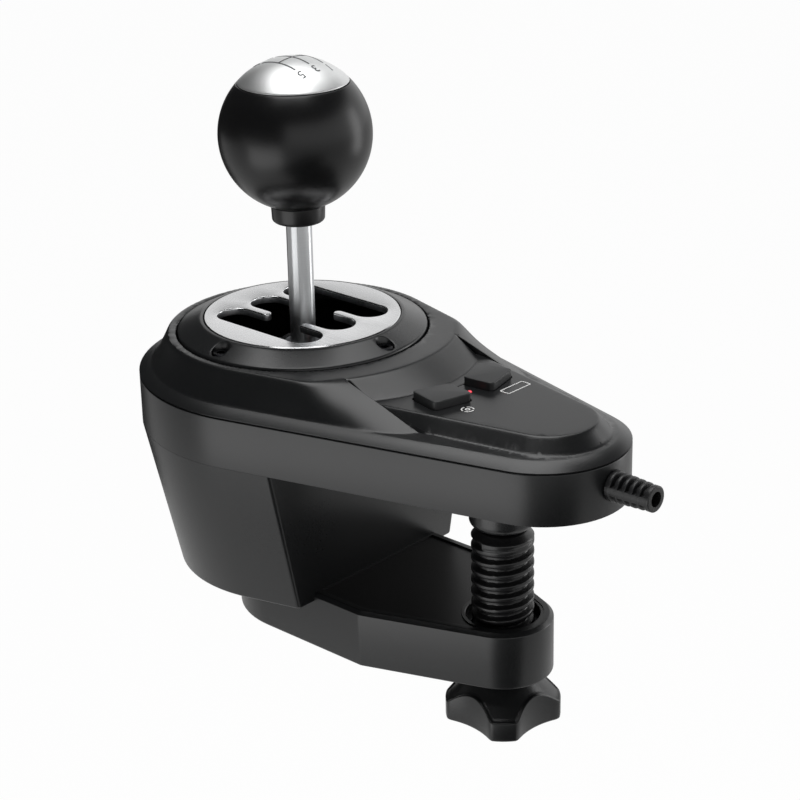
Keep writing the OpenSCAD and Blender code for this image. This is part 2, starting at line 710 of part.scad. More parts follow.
module jaw_pad() color("#1c1c1d") difference() {
  band(jaw_pad_in, 0, jaw_pad_t);
  behind(spine_y + case_gap * 1.5);
}

module gate_ring() color("#2d2d2e") at_lever() difference() {
  rotate_extrude() polygon([
    [plate_r - plate_seat, ledge_z], [ring_r, ledge_z], [ring_r, crown_z],
    [plate_r + case_gap + ring_land, crown_z + ring_h], [plate_r + case_gap, crown_z + ring_h],
    [plate_r + case_gap, plate_z - plate_t], [plate_r - plate_seat, plate_z - plate_t]]);
  for (a = [0 : 90 : 270]) translate(polar(ring_screw_r, a)) {
    pass_hole(ledge_z - clear, plate_z);
    translate([0, 0, ledge_z + ring_base]) cylinder(h = ring_h + clear, r = pocket_r);
  }
}
module slot(x) {
  for (y = [-1, 1]) translate([x, y * slot_end_y]) circle(slot_w / 2);
  translate([x - slot_w / 2 + side_in, -slot_end_y]) square([slot_w - 2 * side_in, 2 * slot_end_y]);
}
finger_r = (column_x - slot_w) / 2;
module gate_plate() color("#b9bbbe") at_lever(plate_z - plate_t) linear_extrude(plate_t) {
  difference() {
    circle(plate_r);
    for (x = [-column_x, 0, column_x]) slot(x);
    translate([-column_x, -channel_y - finger_r]) square([2 * column_x, 2 * (channel_y + finger_r)]);
  }
  for (x = [-1, 1], y = [-1, 1]) translate([x * column_x / 2, y * (channel_y + finger_r)])
    circle(finger_r, $fn = 32);
}
module gate_screws() color("#6d6d70")
  around_lever(ring_screw_r, [0 : 90 : 270], ledge_z + ring_base) bolt(ring_base + ledge_t);
module cover_screws() color("#6d6d70") {
  around_lever(rear_post_r, rear_post_angles, body_z + bolt_head_h) mirror([0, 0, 1])
    bolt(crease_z - body_z - bolt_head_h);
  both_sides() translate(concat(front_post, jaw_pad_t + bolt_head_h)) mirror([0, 0, 1])
    bolt(crease_z - jaw_pad_t - bolt_head_h);
}
module spine_screws() color("#6d6d70")
  around_lever(rear_post_r, spine_angles, floor_z) bolt(spine_post_h - 2 * clear);
module foot_screws() color("#6d6d70") at_points(foot_points, spine_floor_z) bolt(foot_top_t + screw_bite);
module base_screws() color("#6d6d70")
  at_points(base_points, foot_low_z + bolt_head_h) mirror([0, 0, 1]) bolt(screw_bite);

module pivot_frame() color("#55565a") at_lever() difference() {
  union() {
    intersection() {
      translate([0, 0, body_z - frame_t]) cylinder(h = frame_t, r = frame_r);
      translate([-frame_r, -frame_r, body_z - 2 * frame_t])
        cube([2 * frame_r, frame_r + spine_front - wall - 2 * case_gap, 3 * frame_t]);
    }
    both_sides() translate([cheek_x, -cheek_half, pivot_z - cheek_drop])
      cube([cheek_t, 2 * cheek_half, body_z - frame_t / 2 - pivot_z + cheek_drop]);
  }
  translate([0, 0, body_z - frame_t - clear]) cylinder(h = frame_t + 2 * clear, r = frame_hole_r);
  translate([0, 0, pivot_z]) rotate([0, 90, 0])
    cylinder(h = 2 * (cheek_x + cheek_t + clear), r = bush_r + fit_gap, center = true);
  for (a = frame_angles) translate(polar(frame_screw_r, a))
    bite_hole(body_z - frame_t - clear, body_z + clear);
  for (a = spine_angles) translate(concat(polar(rear_post_r, a), body_z - frame_t - clear))
    cylinder(h = frame_t + 2 * clear, r = post_r + case_gap, $fn = 48);
}
module frame_screws() color("#6d6d70")
  around_lever(frame_screw_r, frame_angles, floor_z) bolt(floor_t + frame_t);
module pivot_bushes() color("#c8b98a") at_lever(pivot_z) both_sides()
  translate([bush_x, 0, 0]) rotate([0, 90, 0]) difference() {
    union() {
      cylinder(h = bush_flange_t, r = bush_flange_r);
      cylinder(h = bush_flange_t + cheek_t, r = bush_r);
    }
    translate([0, 0, -clear]) cylinder(h = bush_flange_t + cheek_t + 2 * clear, r = cradle_pin_r + run_gap);
  }

module panel_board() color("#1f4d33") difference() {
  translate([-board_x, -board_back_y, board_low_z])
    cube([2 * board_x, board_back_y + board_front_y, board_t]);
  at_points(board_points) pass_hole(board_low_z - clear, board_z + clear);
}
module board_screws() color("#6d6d70") at_points(board_points, board_z) bolt(board_t + board_bite);
module button_switches() color("#222223") both_sides() at_lever(board_z) translate(button_mid) {
  translate([-switch_w / 2, -switch_w / 2, 0]) cube([switch_w, switch_w, switch_h]);
  cylinder(h = switch_h + plunger_h, r = switch_w / 4, $fn = 32);
}
module signal_lamp() color("#d83a3a") at_lever() translate([0, lamp_y, 0]) {
  translate([0, 0, board_z]) cylinder(h = panel_z - board_z, r = lamp_r, $fn = 32);
  translate([0, 0, board_z]) cylinder(h = clear, r = lamp_r + clear, $fn = 32);
}
module sensor_board() color("#1f4d33") difference() {
  at_lever() translate([-sensor_x, -sensor_y, sensor_z]) cube([2 * sensor_x, 2 * sensor_y, board_t]);
  at_points(sensor_points) pass_hole(sensor_z - clear, sensor_z + board_t + clear);
}
module sensor_screws() color("#6d6d70")
  at_points(sensor_points, sensor_z + board_t) bolt(board_t + sensor_post);

module strain_relief() color("#1b1b1c")
  translate([0, nose_tip_y, relief_z]) rotate([-90, 0, 0]) difference() {
  union() {
    translate([0, 0, -wall - clear]) cylinder(h = clear, r = relief_r + clear, $fn = 64);
    translate([0, 0, -wall - clear]) cylinder(h = wall + 2 * clear, r = relief_neck_r, $fn = 64);
    cylinder(h = relief_len, r1 = relief_r, r2 = relief_end_r, $fn = 64);
  }
  nose_curve();
  translate([0, 0, -wall - 2 * clear]) cylinder(h = wall + relief_len + 3 * clear, r = cable_r, $fn = 64);
  for (i = [1 : relief_ribs])
    translate([0, 0, i * relief_len / (relief_ribs + 1) - rib_gap / 2]) difference() {
      cylinder(h = rib_gap, r = 2 * relief_r, $fn = 64);
      translate([0, 0, -clear]) cylinder(h = rib_gap + 2 * clear, r = cable_r + rib_core, $fn = 64);
      translate([-3 * relief_r, -web_half, -clear]) cube([6 * relief_r, 2 * web_half, rib_gap + 2 * clear]);
    }
}
// The body's round wall, cut out of the cable outlet so that the two fit
module nose_curve() translate([0, 0, -nose_r]) rotate([90, 0, 0]) difference() {
  cylinder(h = 4 * relief_r, r = nose_r, center = true);
  cylinder(h = 5 * relief_r, r = nose_r - wall, center = true);
  rotate([-90, 0, 0]) cylinder(h = 2 * nose_r, r = relief_neck_r + clear / 20);
}

module cradle() color("#7c7f84") at_lever(pivot_z) difference() {
  cube([2 * cradle_half, 2 * cradle_half, cradle_h], center = true);
  cube([2 * cradle_side, 2 * cradle_end, cradle_h + 2 * clear], center = true);
  rotate([0, 90, 0]) cylinder(h = 2 * (cradle_half + clear), r = cradle_pin_r + fit_gap, center = true);
  rotate([90, 0, 0]) cylinder(h = 2 * (cradle_half + clear), r = yoke_pin_r + run_gap, center = true);
}
module cradle_pins() color("#b5b6ba") at_lever(pivot_z) both_sides() rotate([0, 90, 0]) {
  translate([0, 0, cradle_side + case_gap])
    cylinder(h = bush_x + bush_flange_t + cheek_t + clear - cradle_side, r = cradle_pin_r);
  translate([0, 0, cradle_half]) cylinder(h = pin_flange_t, r = pin_flange_r);
}
module centring_springs() color("#9a9ca0") at_lever(pivot_z) for (side = [0, 1]) mirror([0, side, 0])
  translate([0, yoke_half + 2 * wire_r, 0]) rotate([-90, 0, 0])
    coil(yoke_pin_r + 2 * wire_r, wire_r * 0.8, 2, cradle_end - yoke_half - 4 * wire_r);

module yoke() color("#2b2c30") at_lever() difference() {
  union() {
    translate([-yoke_half, -yoke_half, pivot_z - yoke_h / 2]) cube([2 * yoke_half, 2 * yoke_half, yoke_h]);
    translate([0, 0, tube_low_z]) cylinder(h = shoulder_z - tube_low_z, r = tube_r);
    translate([0, 0, tube_low_z]) cylinder(h = hub_top_z - case_gap - tube_low_z, r = neck_r);
  }
  translate([0, 0, tube_floor_z]) cylinder(h = hub_top_z - tube_floor_z, r = bore_r);
  translate([0, 0, tube_low_z - clear]) cylinder(h = magnet_t + clear, r = magnet_r + fit_gap);
  translate([-2 * tube_r, -stop_pin_r - switch_play, stop_z - stop_pin_r - push_travel - switch_play])
    cube([4 * tube_r, 2 * (stop_pin_r + switch_play), 2 * stop_pin_r + push_travel + 2 * switch_play]);
  for (side = [0, 1]) mirror([0, side, 0]) translate([0, yoke_pin_in, pivot_z]) rotate([-90, 0, 0])
    cylinder(h = yoke_half, r = yoke_pin_r + fit_gap);
}
module yoke_pins() color("#b5b6ba") at_lever(pivot_z) for (side = [0, 1]) mirror([0, side, 0])
  translate([0, yoke_pin_in, 0]) rotate([-90, 0, 0]) cylinder(h = cradle_half - yoke_pin_in, r = yoke_pin_r);
module dust_dome() color("#121213") at_lever() difference() {
  union() {
    intersection() {
      translate([0, 0, pivot_z]) difference() {
        sphere(dome_r);
        sphere(dome_r - dome_t);
      }
      translate([0, 0, pivot_z]) cylinder(h = 2 * dome_r, r1 = 0, r2 = 2 * dome_r * tan(dome_angle));
    }
    translate([0, 0, shoulder_z]) cylinder(h = hub_top_z - shoulder_z, r = hub_r);
  }
  translate([0, 0, shoulder_z - clear])
    cylinder(h = hub_top_z - shoulder_z + 2 * clear, r = neck_r + run_gap);
}
module sensor_magnet() color("#8b8d92") at_lever(tube_low_z) cylinder(h = magnet_t, r = magnet_r);
module reverse_spring() color("#9a9ca0") at_lever(tube_floor_z + wire_r)
  coil(bore_r - 2 * wire_r, wire_r, 6, shaft_foot_z - tube_floor_z - 2 * wire_r - run_gap);

module lever_shaft() color("#d5d7da") at_lever() difference() {
  translate([0, 0, shaft_foot_z]) cylinder(h = insert_z - shaft_foot_z, r = shaft_r);
  translate([0, 0, stop_z]) rotate([0, 90, 0])
    cylinder(h = 4 * shaft_r, r = stop_pin_r + fit_gap, center = true, $fn = 48);
}
module stop_pin() color("#b5b6ba") at_lever(stop_z) rotate([0, 90, 0])
  cylinder(h = 2 * (tube_r + clear), r = stop_pin_r, center = true, $fn = 48);
module knob_insert() color("#b08d4a") at_lever(ball_flat_z) difference() {
  cylinder(h = insert_h, r = insert_r);
  translate([0, 0, -clear]) cylinder(h = insert_h + 2 * clear, r = shaft_r + fit_gap);
}
module knob_collar() color("#1a1a1b") at_lever(collar_z) difference() {
  cylinder(h = collar_h, r = collar_r);
  translate([0, 0, -clear]) cylinder(h = collar_h + 2 * clear, r = shaft_r + fit_gap);
}
module ball_slice(low, high) intersection() {
  at_lever(ball_z) sphere(ball_r);
  at_lever(low) cylinder(h = high - low, r = 2 * ball_r);
}
module knob_ball() color("#101011") difference() {
  ball_slice(ball_flat_z, ball_z + cap_rise);
  at_lever(ball_flat_z - clear) cylinder(h = insert_h + clear, r = insert_r + fit_gap);
}
module knob_cap() color("#c9cbcd") ball_slice(ball_z + cap_rise, ball_z + 2 * ball_r);

module button() {
  button_form(0, lip_z - clear / 2, button_z);
  button_form(button_lip, lip_low_z, lip_z);
  at_lever(stem_low_z) translate(button_mid) cylinder(h = button_stem + clear, r = switch_w / 3, $fn = 32);
}
module button_right() color("#3d3d3e") button();
module button_left() color("#3d3d3e") mirror([1, 0, 0]) button();

module swivel_pad() color("#232324") difference() {
  rotate_extrude() polygon(concat(
    [[0, swivel_low_z]],
    [for (t = [-90 : 15 : 0]) [
      swivel_foot_r + (swivel_r - swivel_foot_r) * cos(t),
      swivel_low_z + (swivel_r - swivel_foot_r) * (1 + sin(t))]],
    [[swivel_r, swivel_z], [0, swivel_z]]));
  translate([0, 0, screw_ball_z]) sphere(screw_ball_r + case_gap);
}
module pad_facing() color("#161617")
  translate([0, 0, swivel_z]) cylinder(h = facing_t, r = swivel_r - clear / 2);
thread_turns = floor((thread_z - star_z) / thread_pitch);
module clamp_screw() color("#1d1d1e") {
  translate([0, 0, thread_z - thread_pitch * (thread_turns + 1)]) thread(root_r, screw_r, 0, thread_turns);
  translate([0, 0, thread_z - 3 * thread_pitch])
    cylinder(h = screw_ball_z - thread_z + 3 * thread_pitch, r = screw_neck_r);
  translate([0, 0, screw_ball_z]) sphere(screw_ball_r);
  translate([0, 0, shank_low_z]) cylinder(h = shank_h + 3 * thread_pitch, r = shank_r);
}
module clamp_nut() color("#a08a4c") difference() {
  translate([0, 0, base_z]) cylinder(h = nut_z - base_z, r = nut_r);
  translate([0, 0, thread_z - thread_pitch * (thread_turns + 1)])
    thread(root_r + thread_gap, screw_r + thread_gap, 0.06, thread_turns);
}
module star_knob() color("#3f3f40") difference() {
  intersection() {
    translate([0, 0, star_low_z]) linear_extrude(star_h) difference() {
      circle(star_r);
      for (i = [1 : star_lobes]) translate(polar(flute_reach, star_turn + 360 * i / star_lobes))
        circle(flute_r);
    }
    rotate_extrude() polygon([
      [0, star_low_z], [star_r, star_low_z], [star_r, star_low_z + lobe_h],
      [star_top_r, star_z], [0, star_z]]);
  }
  translate([0, 0, shank_low_z]) cylinder(h = shank_h + clear, r = shank_r + fit_gap);
}

main_body();
top_cover();
spine_shell();
foot_shell();
foot_deck();
foot_base();
jaw_pad();
gate_ring();
gate_plate();
gate_screws();
cover_screws();
spine_screws();
foot_screws();
base_screws();
pivot_frame();
frame_screws();
pivot_bushes();
panel_board();
board_screws();
button_switches();
signal_lamp();
sensor_board();
sensor_screws();
strain_relief();
clamp_nut();
cradle();
cradle_pins();
centring_springs();
yoke();
yoke_pins();
dust_dome();
sensor_magnet();
reverse_spring();
lever_shaft();
stop_pin();
knob_insert();
knob_collar();
knob_ball();
knob_cap();
button_right();
button_left();
swivel_pad();
pad_facing();
clamp_screw();
star_knob();
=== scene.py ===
import json
import math
import bmesh
import bpy
from mathutils import Matrix, Quaternion, Vector
from mathutils.geometry import delaunay_2d_cdt

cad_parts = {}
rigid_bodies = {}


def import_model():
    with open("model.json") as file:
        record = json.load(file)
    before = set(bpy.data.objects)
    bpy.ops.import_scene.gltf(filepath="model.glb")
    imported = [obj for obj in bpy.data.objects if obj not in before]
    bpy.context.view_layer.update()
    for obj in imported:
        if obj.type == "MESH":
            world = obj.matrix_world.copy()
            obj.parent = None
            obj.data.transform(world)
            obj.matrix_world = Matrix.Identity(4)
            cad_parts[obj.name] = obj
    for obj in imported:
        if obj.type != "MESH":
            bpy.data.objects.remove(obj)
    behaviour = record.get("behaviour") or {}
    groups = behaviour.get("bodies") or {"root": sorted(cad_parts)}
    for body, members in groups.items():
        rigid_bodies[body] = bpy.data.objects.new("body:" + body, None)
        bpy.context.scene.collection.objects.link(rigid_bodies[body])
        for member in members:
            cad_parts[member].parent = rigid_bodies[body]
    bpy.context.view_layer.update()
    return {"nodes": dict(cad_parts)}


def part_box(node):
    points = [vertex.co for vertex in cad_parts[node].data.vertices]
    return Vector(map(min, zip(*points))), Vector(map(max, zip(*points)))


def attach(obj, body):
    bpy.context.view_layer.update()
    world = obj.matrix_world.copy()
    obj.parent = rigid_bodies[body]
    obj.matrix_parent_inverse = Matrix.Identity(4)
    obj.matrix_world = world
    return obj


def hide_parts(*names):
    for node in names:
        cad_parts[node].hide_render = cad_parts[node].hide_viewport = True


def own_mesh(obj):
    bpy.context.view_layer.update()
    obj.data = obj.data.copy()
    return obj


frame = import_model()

mm = 0.001
print("frame loaded:", len(frame["nodes"]), "nodes")


# The photograph's camera, in millimetres and degrees
cameraSet = {
    "place": (482.0, 406.0, 284.8),
    "azimuth": 42.975,  # from +X towards +Y
    "pitch": 22.253,
    "roll": -1.266,
    "lens": 99.16,
    "sensor": 36.0,
    "sees": (10.0, 20000.0),  # nearest and farthest
}


def makeCamera():
    data = bpy.data.cameras.new("photoCamera")
    data.lens = cameraSet["lens"]
    data.sensor_width = cameraSet["sensor"]
    data.clip_start, data.clip_end = [distance * mm for distance in cameraSet["sees"]]
    turn = math.radians(cameraSet["azimuth"])
    pitch = math.radians(cameraSet["pitch"])
    roll = math.radians(cameraSet["roll"])
    back = Vector((math.cos(turn) * math.cos(pitch), math.sin(turn) * math.cos(pitch), math.sin(pitch)))
    right = Vector((-math.sin(turn), math.cos(turn), 0))
    up = back.cross(right)
    rightRolled = right * math.cos(roll) + up * math.sin(roll)
    upRolled = up * math.cos(roll) - right * math.sin(roll)
    camera = bpy.data.objects.new("photoCamera", data)
    bpy.context.collection.objects.link(camera)
    camera.matrix_world = Matrix((
        (rightRolled.x, upRolled.x, back.x, cameraSet["place"][0] * mm),
        (rightRolled.y, upRolled.y, back.y, cameraSet["place"][1] * mm),
        (rightRolled.z, upRolled.z, back.z, cameraSet["place"][2] * mm),
        (0, 0, 0, 1)))
    bpy.context.scene.camera = camera


makeCamera()
print("camera placed")


def hexColour(text):
    parts = [int(text[i:i + 2], 16) / 255 for i in (1, 3, 5)]
    return [v / 12.92 if v <= 0.04045 else ((v + 0.055) / 1.055) ** 2.4 for v in parts] + [1]


# Adds a node; a setting goes to the input of that name or number, or else to the node's own property
def addNode(tree, kind, settings=None, links=None):
    node = tree.nodes.new(kind)
    for key, value in (settings or {}).items():
        if isinstance(key, int) or key in node.inputs:
            node.inputs[key].default_value = value
        else:
            setattr(node, key, value)
    for key, source in (links or {}).items():
        tree.links.new(source, node.inputs[key])
    return node


# Most of the noise lies between the two values of the span; the cloud's size is in millimetres
noiseSet = {"span": (0.3, 0.7), "cloud": 40, "share": 0.6}


# A surface with grain: two colours, a roughness range and a bump, all from one noise
def grainSurface(name, look, sockets):
    material = bpy.data.materials.new(name)
    material.use_nodes = True
    tree = material.node_tree
    shader = tree.nodes["Principled BSDF"]
    span = noiseSet["span"]
    share = look.get("share", noiseSet["share"])  # the grain's part in the tone; the rest is a slow cloud
    place = addNode(tree, "ShaderNodeTexCoord")
    stretch = addNode(tree, "ShaderNodeMapping", {"Scale": look.get("stretch", (1, 1, 1))},
                      {"Vector": place.outputs["Object"]})
    grain = addNode(tree, "ShaderNodeTexNoise",
                    {"Scale": 1 / (look["grain"] * mm), "Detail": 2.0, "Roughness": 0.6},
                    {"Vector": stretch.outputs["Vector"]})
    cloud = addNode(tree, "ShaderNodeTexNoise", {"Scale": 1 / (noiseSet["cloud"] * mm), "Detail": 1.0},
                    {"Vector": place.outputs["Object"]})
    mixed = addNode(tree, "ShaderNodeMath", {"operation": "MULTIPLY_ADD", 1: share},
                    {0: grain.outputs["Fac"]})
    part = addNode(tree, "ShaderNodeMath", {"operation": "MULTIPLY", 1: 1 - share}, {0: cloud.outputs["Fac"]})
    tree.links.new(part.outputs["Value"], mixed.inputs[2])
    ramp = addNode(tree, "ShaderNodeValToRGB", None, {"Fac": mixed.outputs["Value"]})
    for i in (0, 1):
        ramp.color_ramp.elements[i].position = span[i]
        ramp.color_ramp.elements[i].color = hexColour(look["colours"][i])
    rough = addNode(tree, "ShaderNodeMapRange",
                    {"From Min": span[0], "From Max": span[1],
                     "To Min": look["rough"][0], "To Max": look["rough"][1]},
                    {"Value": mixed.outputs["Value"]})
    bump = addNode(tree, "ShaderNodeBump", {"Strength": 1.0, "Distance": look["depth"] * mm},
                   {"Height": grain.outputs["Fac"]})
    tree.links.new(ramp.outputs["Color"], shader.inputs["Base Color"])
    tree.links.new(rough.outputs["Result"], shader.inputs["Roughness"])
    tree.links.new(bump.outputs["Normal"], shader.inputs["Normal"])
    if "turnedLines" in look:  # lines around the upright axis
        around = addNode(tree, "ShaderNodeTangent", {"direction_type": "RADIAL", "axis": "Z"})
        tree.links.new(around.outputs["Tangent"], shader.inputs["Tangent"])
        shader.inputs["Anisotropic"].default_value = look["turnedLines"]
        shader.inputs["Anisotropic Rotation"].default_value = 0.25
    for key, value in sockets.items():
        shader.inputs[key].default_value = value
    return material


metal = {"Metallic": 1.0}


def plastic(specular, index=1.5):
    return {"Specular IOR Level": specular, "IOR": index}


# Grain sizes and bump depths are in millimetres
materials = {
    # ABS from a spark-eroded mould: satin charcoal with a fine even grain; the grain is drawn
    # about twice as coarse as the real 0.3 mm so that it shows
    "bodyAbs": grainSurface("moulded spark-grained ABS", {
        "colours": ("#141516", "#1b1c1d"), "grain": 0.6, "depth": 0.003, "rough": (0.27, 0.35)},
        plastic(0.5)),
    # The same ABS from a smoother part of the mould: a tighter, darker sheen
    "ringAbs": grainSurface("moulded satin ABS", {
        "colours": ("#191a1b", "#212223"), "grain": 0.5, "depth": 0.002, "rough": (0.25, 0.33)},
        plastic(0.5)),
    # Smooth moulded ABS: near black, shows soft reflections
    "deckAbs": grainSurface("moulded smooth black ABS", {
        "colours": ("#0e0e0f", "#161617"), "grain": 0.8, "depth": 0.002, "rough": (0.28, 0.38)},
        plastic(0.3)),
    # Soft-touch lacquer on the ball: deep black with a broad, silky sheen
    "ballLacquer": grainSurface("sprayed satin lacquer", {
        "colours": ("#0f0f10", "#161617"), "grain": 0.5, "depth": 0.001, "rough": (0.28, 0.34)},
        plastic(0.4)),
    # Satin nickel plating on the cap: a soft, bright metal without brush lines
    "capNickel": grainSurface("satin nickel plating", {
        "colours": ("#dcdddd", "#e6e7e7"), "grain": 0.3, "depth": 0.002, "rough": (0.42, 0.50)},
        metal),
    # Brushed aluminium: streaks along the slots, drawn about 0.25 mm apart so that they show
    "brushedAluminium": grainSurface("brushed aluminium", {
        "colours": ("#d2d3d4", "#ececed"), "grain": 1.0, "stretch": (4, 0.04, 4), "share": 0.85,
        "depth": 0.002, "rough": (0.20, 0.30)}, metal),
    # Cut edge of the same plate: bright and smooth
    "cutAluminium": grainSurface("diamond-cut aluminium", {
        "colours": ("#d4d5d6", "#dedfe0"), "grain": 0.5, "stretch": (1, 1, 8), "depth": 0.001,
        "rough": (0.14, 0.22)}, metal),
    # Walls of the gate's slots: duller, with fine upright tool marks
    "sawnAluminium": grainSurface("milled aluminium", {
        "colours": ("#8d8e90", "#a3a4a6"), "grain": 0.6, "stretch": (1, 1, 0.2), "depth": 0.004,
        "rough": (0.30, 0.42)}, metal),
    # Buttons: the body's ABS with a finer, drier grain
    "buttonAbs": grainSurface("moulded fine-grained ABS", {
        "colours": ("#202122", "#292a2b"), "grain": 0.4, "depth": 0.003, "rough": (0.42, 0.52)},
        plastic(0.5)),
    # Hard chrome on turned steel: fine turning lines draw the light out along the shaft
    "chrome": grainSurface("turned hard chrome", {
        "colours": ("#d6d8da", "#e0e2e3"), "grain": 1.0, "stretch": (0.2, 0.2, 6), "depth": 0.0004,
        "rough": (0.28, 0.34), "turnedLines": 0.95}, metal),
    # Acetal thread: slippery black with bright crests
    "screwAcetal": grainSurface("turned black acetal", {
        "colours": ("#141415", "#1c1c1d"), "grain": 0.8, "stretch": (0.4, 0.4, 3), "depth": 0.002,
        "rough": (0.26, 0.34)}, plastic(0.5, 1.48)),
    # Soft PVC of the cable outlet: black with a waxy shine
    "reliefPvc": grainSurface("moulded soft PVC", {
        "colours": ("#1a1a1b", "#232324"), "grain": 0.7, "depth": 0.003, "rough": (0.34, 0.44)},
        plastic(0.4, 1.52)),
    # Rubber: dull black with a dusty grain
    "rubber": grainSurface("moulded rubber", {
        "colours": ("#161617", "#242425"), "grain": 0.9, "depth": 0.02, "rough": (0.78, 0.92)},
        plastic(0.2, 1.52)),
    # Die-cast zinc: grey with a slight orange-peel skin
    "castZinc": grainSurface("die-cast zinc", {
        "colours": ("#6f7174", "#85878a"), "grain": 1.6, "depth": 0.02, "rough": (0.42, 0.58)},
        metal),
    # Black-oxide steel screws: dark metal with an oily gleam
    "blackSteel": grainSurface("black-oxide steel", {
        "colours": ("#1b1b1d", "#2b2b2e"), "grain": 0.4, "depth": 0.003, "rough": (0.30, 0.42)},
        metal),
    # Ground steel pins and spring wire: even grey metal with fine lines
    "groundSteel": grainSurface("ground steel", {
        "colours": ("#9c9ea1", "#b1b3b6"), "grain": 0.5, "stretch": (1, 6, 6), "depth": 0.002,
        "rough": (0.22, 0.32)}, metal),
    # Sintered bronze: warm metal full of fine dark pores
    "bronze": grainSurface("sintered bronze", {
        "colours": ("#8a6a3c", "#b08b54"), "grain": 0.5, "depth": 0.01, "rough": (0.40, 0.55)},
        metal),
    # Turned brass of the knob's insert: warm, with fine lathe lines
    "brass": grainSurface("turned brass", {
        "colours": ("#a98a45", "#bd9d55"), "grain": 0.5, "stretch": (1, 1, 6), "depth": 0.003,
        "rough": (0.20, 0.30)}, metal),
    # Epoxy glass board under green solder mask: an even gloss over a faint weave
    "board": grainSurface("green epoxy glass board", {
        "colours": ("#174a2e", "#1f5b3a"), "grain": 1.2, "depth": 0.004, "rough": (0.28, 0.40)},
        plastic(0.5, 1.55)),
    # Red diffusing lens of the lamp, glowing a little
    "lampLens": grainSurface("tinted polycarbonate lens", {
        "colours": ("#d92a3a", "#ee5a66"), "grain": 0.5, "depth": 0.002, "rough": (0.2, 0.3)},
        {"IOR": 1.58, "Emission Color": hexColour("#ff4a5a"), "Emission Strength": 0.9}),
    # Pad-printed ink: flat white, very slightly broken at its grain
    "whiteInk": grainSurface("pad-printed white ink", {
        "colours": ("#d9d9d8", "#ececeb"), "grain": 0.25, "depth": 0.002, "rough": (0.55, 0.65)},
        plastic(0.3)),
    # Etched and filled lines on the cap: dull grey
    "greyInk": grainSurface("etched and filled grey lines", {
        "colours": ("#4c4d4f", "#5b5c5e"), "grain": 0.25, "depth": 0.002, "rough": (0.5, 0.6)},
        plastic(0.3)),
}
print("materials made:", len(materials))


# Mesh helpers: a form holds points in millimetres, faces and the number of each face's material
def newForm():
    return {"points": [], "faces": [], "kinds": []}


# Joins rings of equal length into a tube
def addRings(form, rings, loopBack=False, kind=0):
    first, count, rows = len(form["points"]), len(rings[0]), len(rings)
    for ring in rings:
        form["points"] += [tuple(p) for p in ring]
    for j in range(rows if loopBack else rows - 1):
        low, high = first + j * count, first + (j + 1) % rows * count
        for i in range(count):
            k = (i + 1) % count
            form["faces"].append((low + i, low + k, high + k, high + i))
            form["kinds"].append(kind)


def addCap(form, ring, kind=0):
    first = len(form["points"])
    form["points"] += [tuple(p) for p in ring]
    form["faces"].append(tuple(range(first, first + len(ring))))
    form["kinds"].append(kind)


# A tube of rings with both ends closed
def addPlug(form, rings):
    addRings(form, rings)
    addCap(form, rings[0])
    addCap(form, rings[-1])


# Fills flat loops, and any loose points, with triangles; lift gives each point's height
def addFill(form, loops, lift, keep, loose=(), kind=0):
    flat, edges = [], []
    for loop in loops:
        first = len(flat)
        flat += [Vector((p[0], p[1])) for p in loop]
        edges += [(first + i, first + (i + 1) % len(loop)) for i in range(len(loop))]
    flat += [Vector(p) for p in loose]
    spots, _, triangles, *_ = delaunay_2d_cdt(flat, edges, [], 0, 1e-6)
    first = len(form["points"])
    form["points"] += [(p.x, p.y, lift(p.x, p.y)) for p in spots]
    for face in triangles:
        centre = sum((spots[i] for i in face), Vector((0, 0))) / len(face)
        if keep(centre.x, centre.y):
            form["faces"].append(tuple(first + i for i in face))
            form["kinds"].append(kind)


# A flat closed band along a path, for prints: four points at each step
def addRibbon(form, path, width, lift, closed=False, thick=0.05):
    rings, count = [], len(path)
    for i, p in enumerate(path):
        before = path[(i - 1) % count] if closed or i else p
        after = path[(i + 1) % count] if closed or i < count - 1 else p
        along = (Vector(after) - Vector(before)).normalized()
        side = Vector((-along.y, along.x)) * width / 2
        left, right = Vector(p) + side, Vector(p) - side
        rings.append([(q.x, q.y, lift(q.x, q.y) + up * thick) for q, up in
                      ((left, 1), (right, 1), (right, -1), (left, -1))])
    if closed:
        addRings(form, rings, True)
    else:
        addPlug(form, rings)


def polar(radius, degrees):
    turn = math.radians(degrees)
    return radius * math.cos(turn), radius * math.sin(turn)


def arcPoints(centre, radius, start, end, steps):
    spots = [polar(radius, start + (end - start) * i / steps) for i in range(steps + 1)]
    return [(centre[0] + x, centre[1] + y) for x, y in spots]


def circlePoints(centre, radius, count):
    return arcPoints(centre, radius, 0, 360 * (count - 1) / count, count - 1)


# A path whose corners are rounded; radii is one number, or one for each corner
def roundPath(corners, radii, steps=5, closed=False):
    count, path = len(corners), []
    for i, corner in enumerate(corners):
        radius = radii if isinstance(radii, (int, float)) else radii[i]
        if radius <= 0 or (not closed and i in (0, count - 1)):
            path.append(tuple(corner))
            continue
        here = Vector(corner)
        before = (Vector(corners[i - 1]) - here)
        after = (Vector(corners[(i + 1) % count]) - here)
        half = before.angle(after) / 2
        trim = min(radius / math.tan(half), before.length * 0.49, after.length * 0.49)
        radius = trim * math.tan(half)
        middle = here + (before.normalized() + after.normalized()).normalized() * radius / math.sin(half)
        first = here + before.normalized() * trim - middle
        last = here + after.normalized() * trim - middle
        turn = first.angle_signed(last)
        for s in range(steps + 1):
            swung = Matrix.Rotation(-turn * s / steps, 2) @ first
            path.append(tuple(middle + swung))
    return path


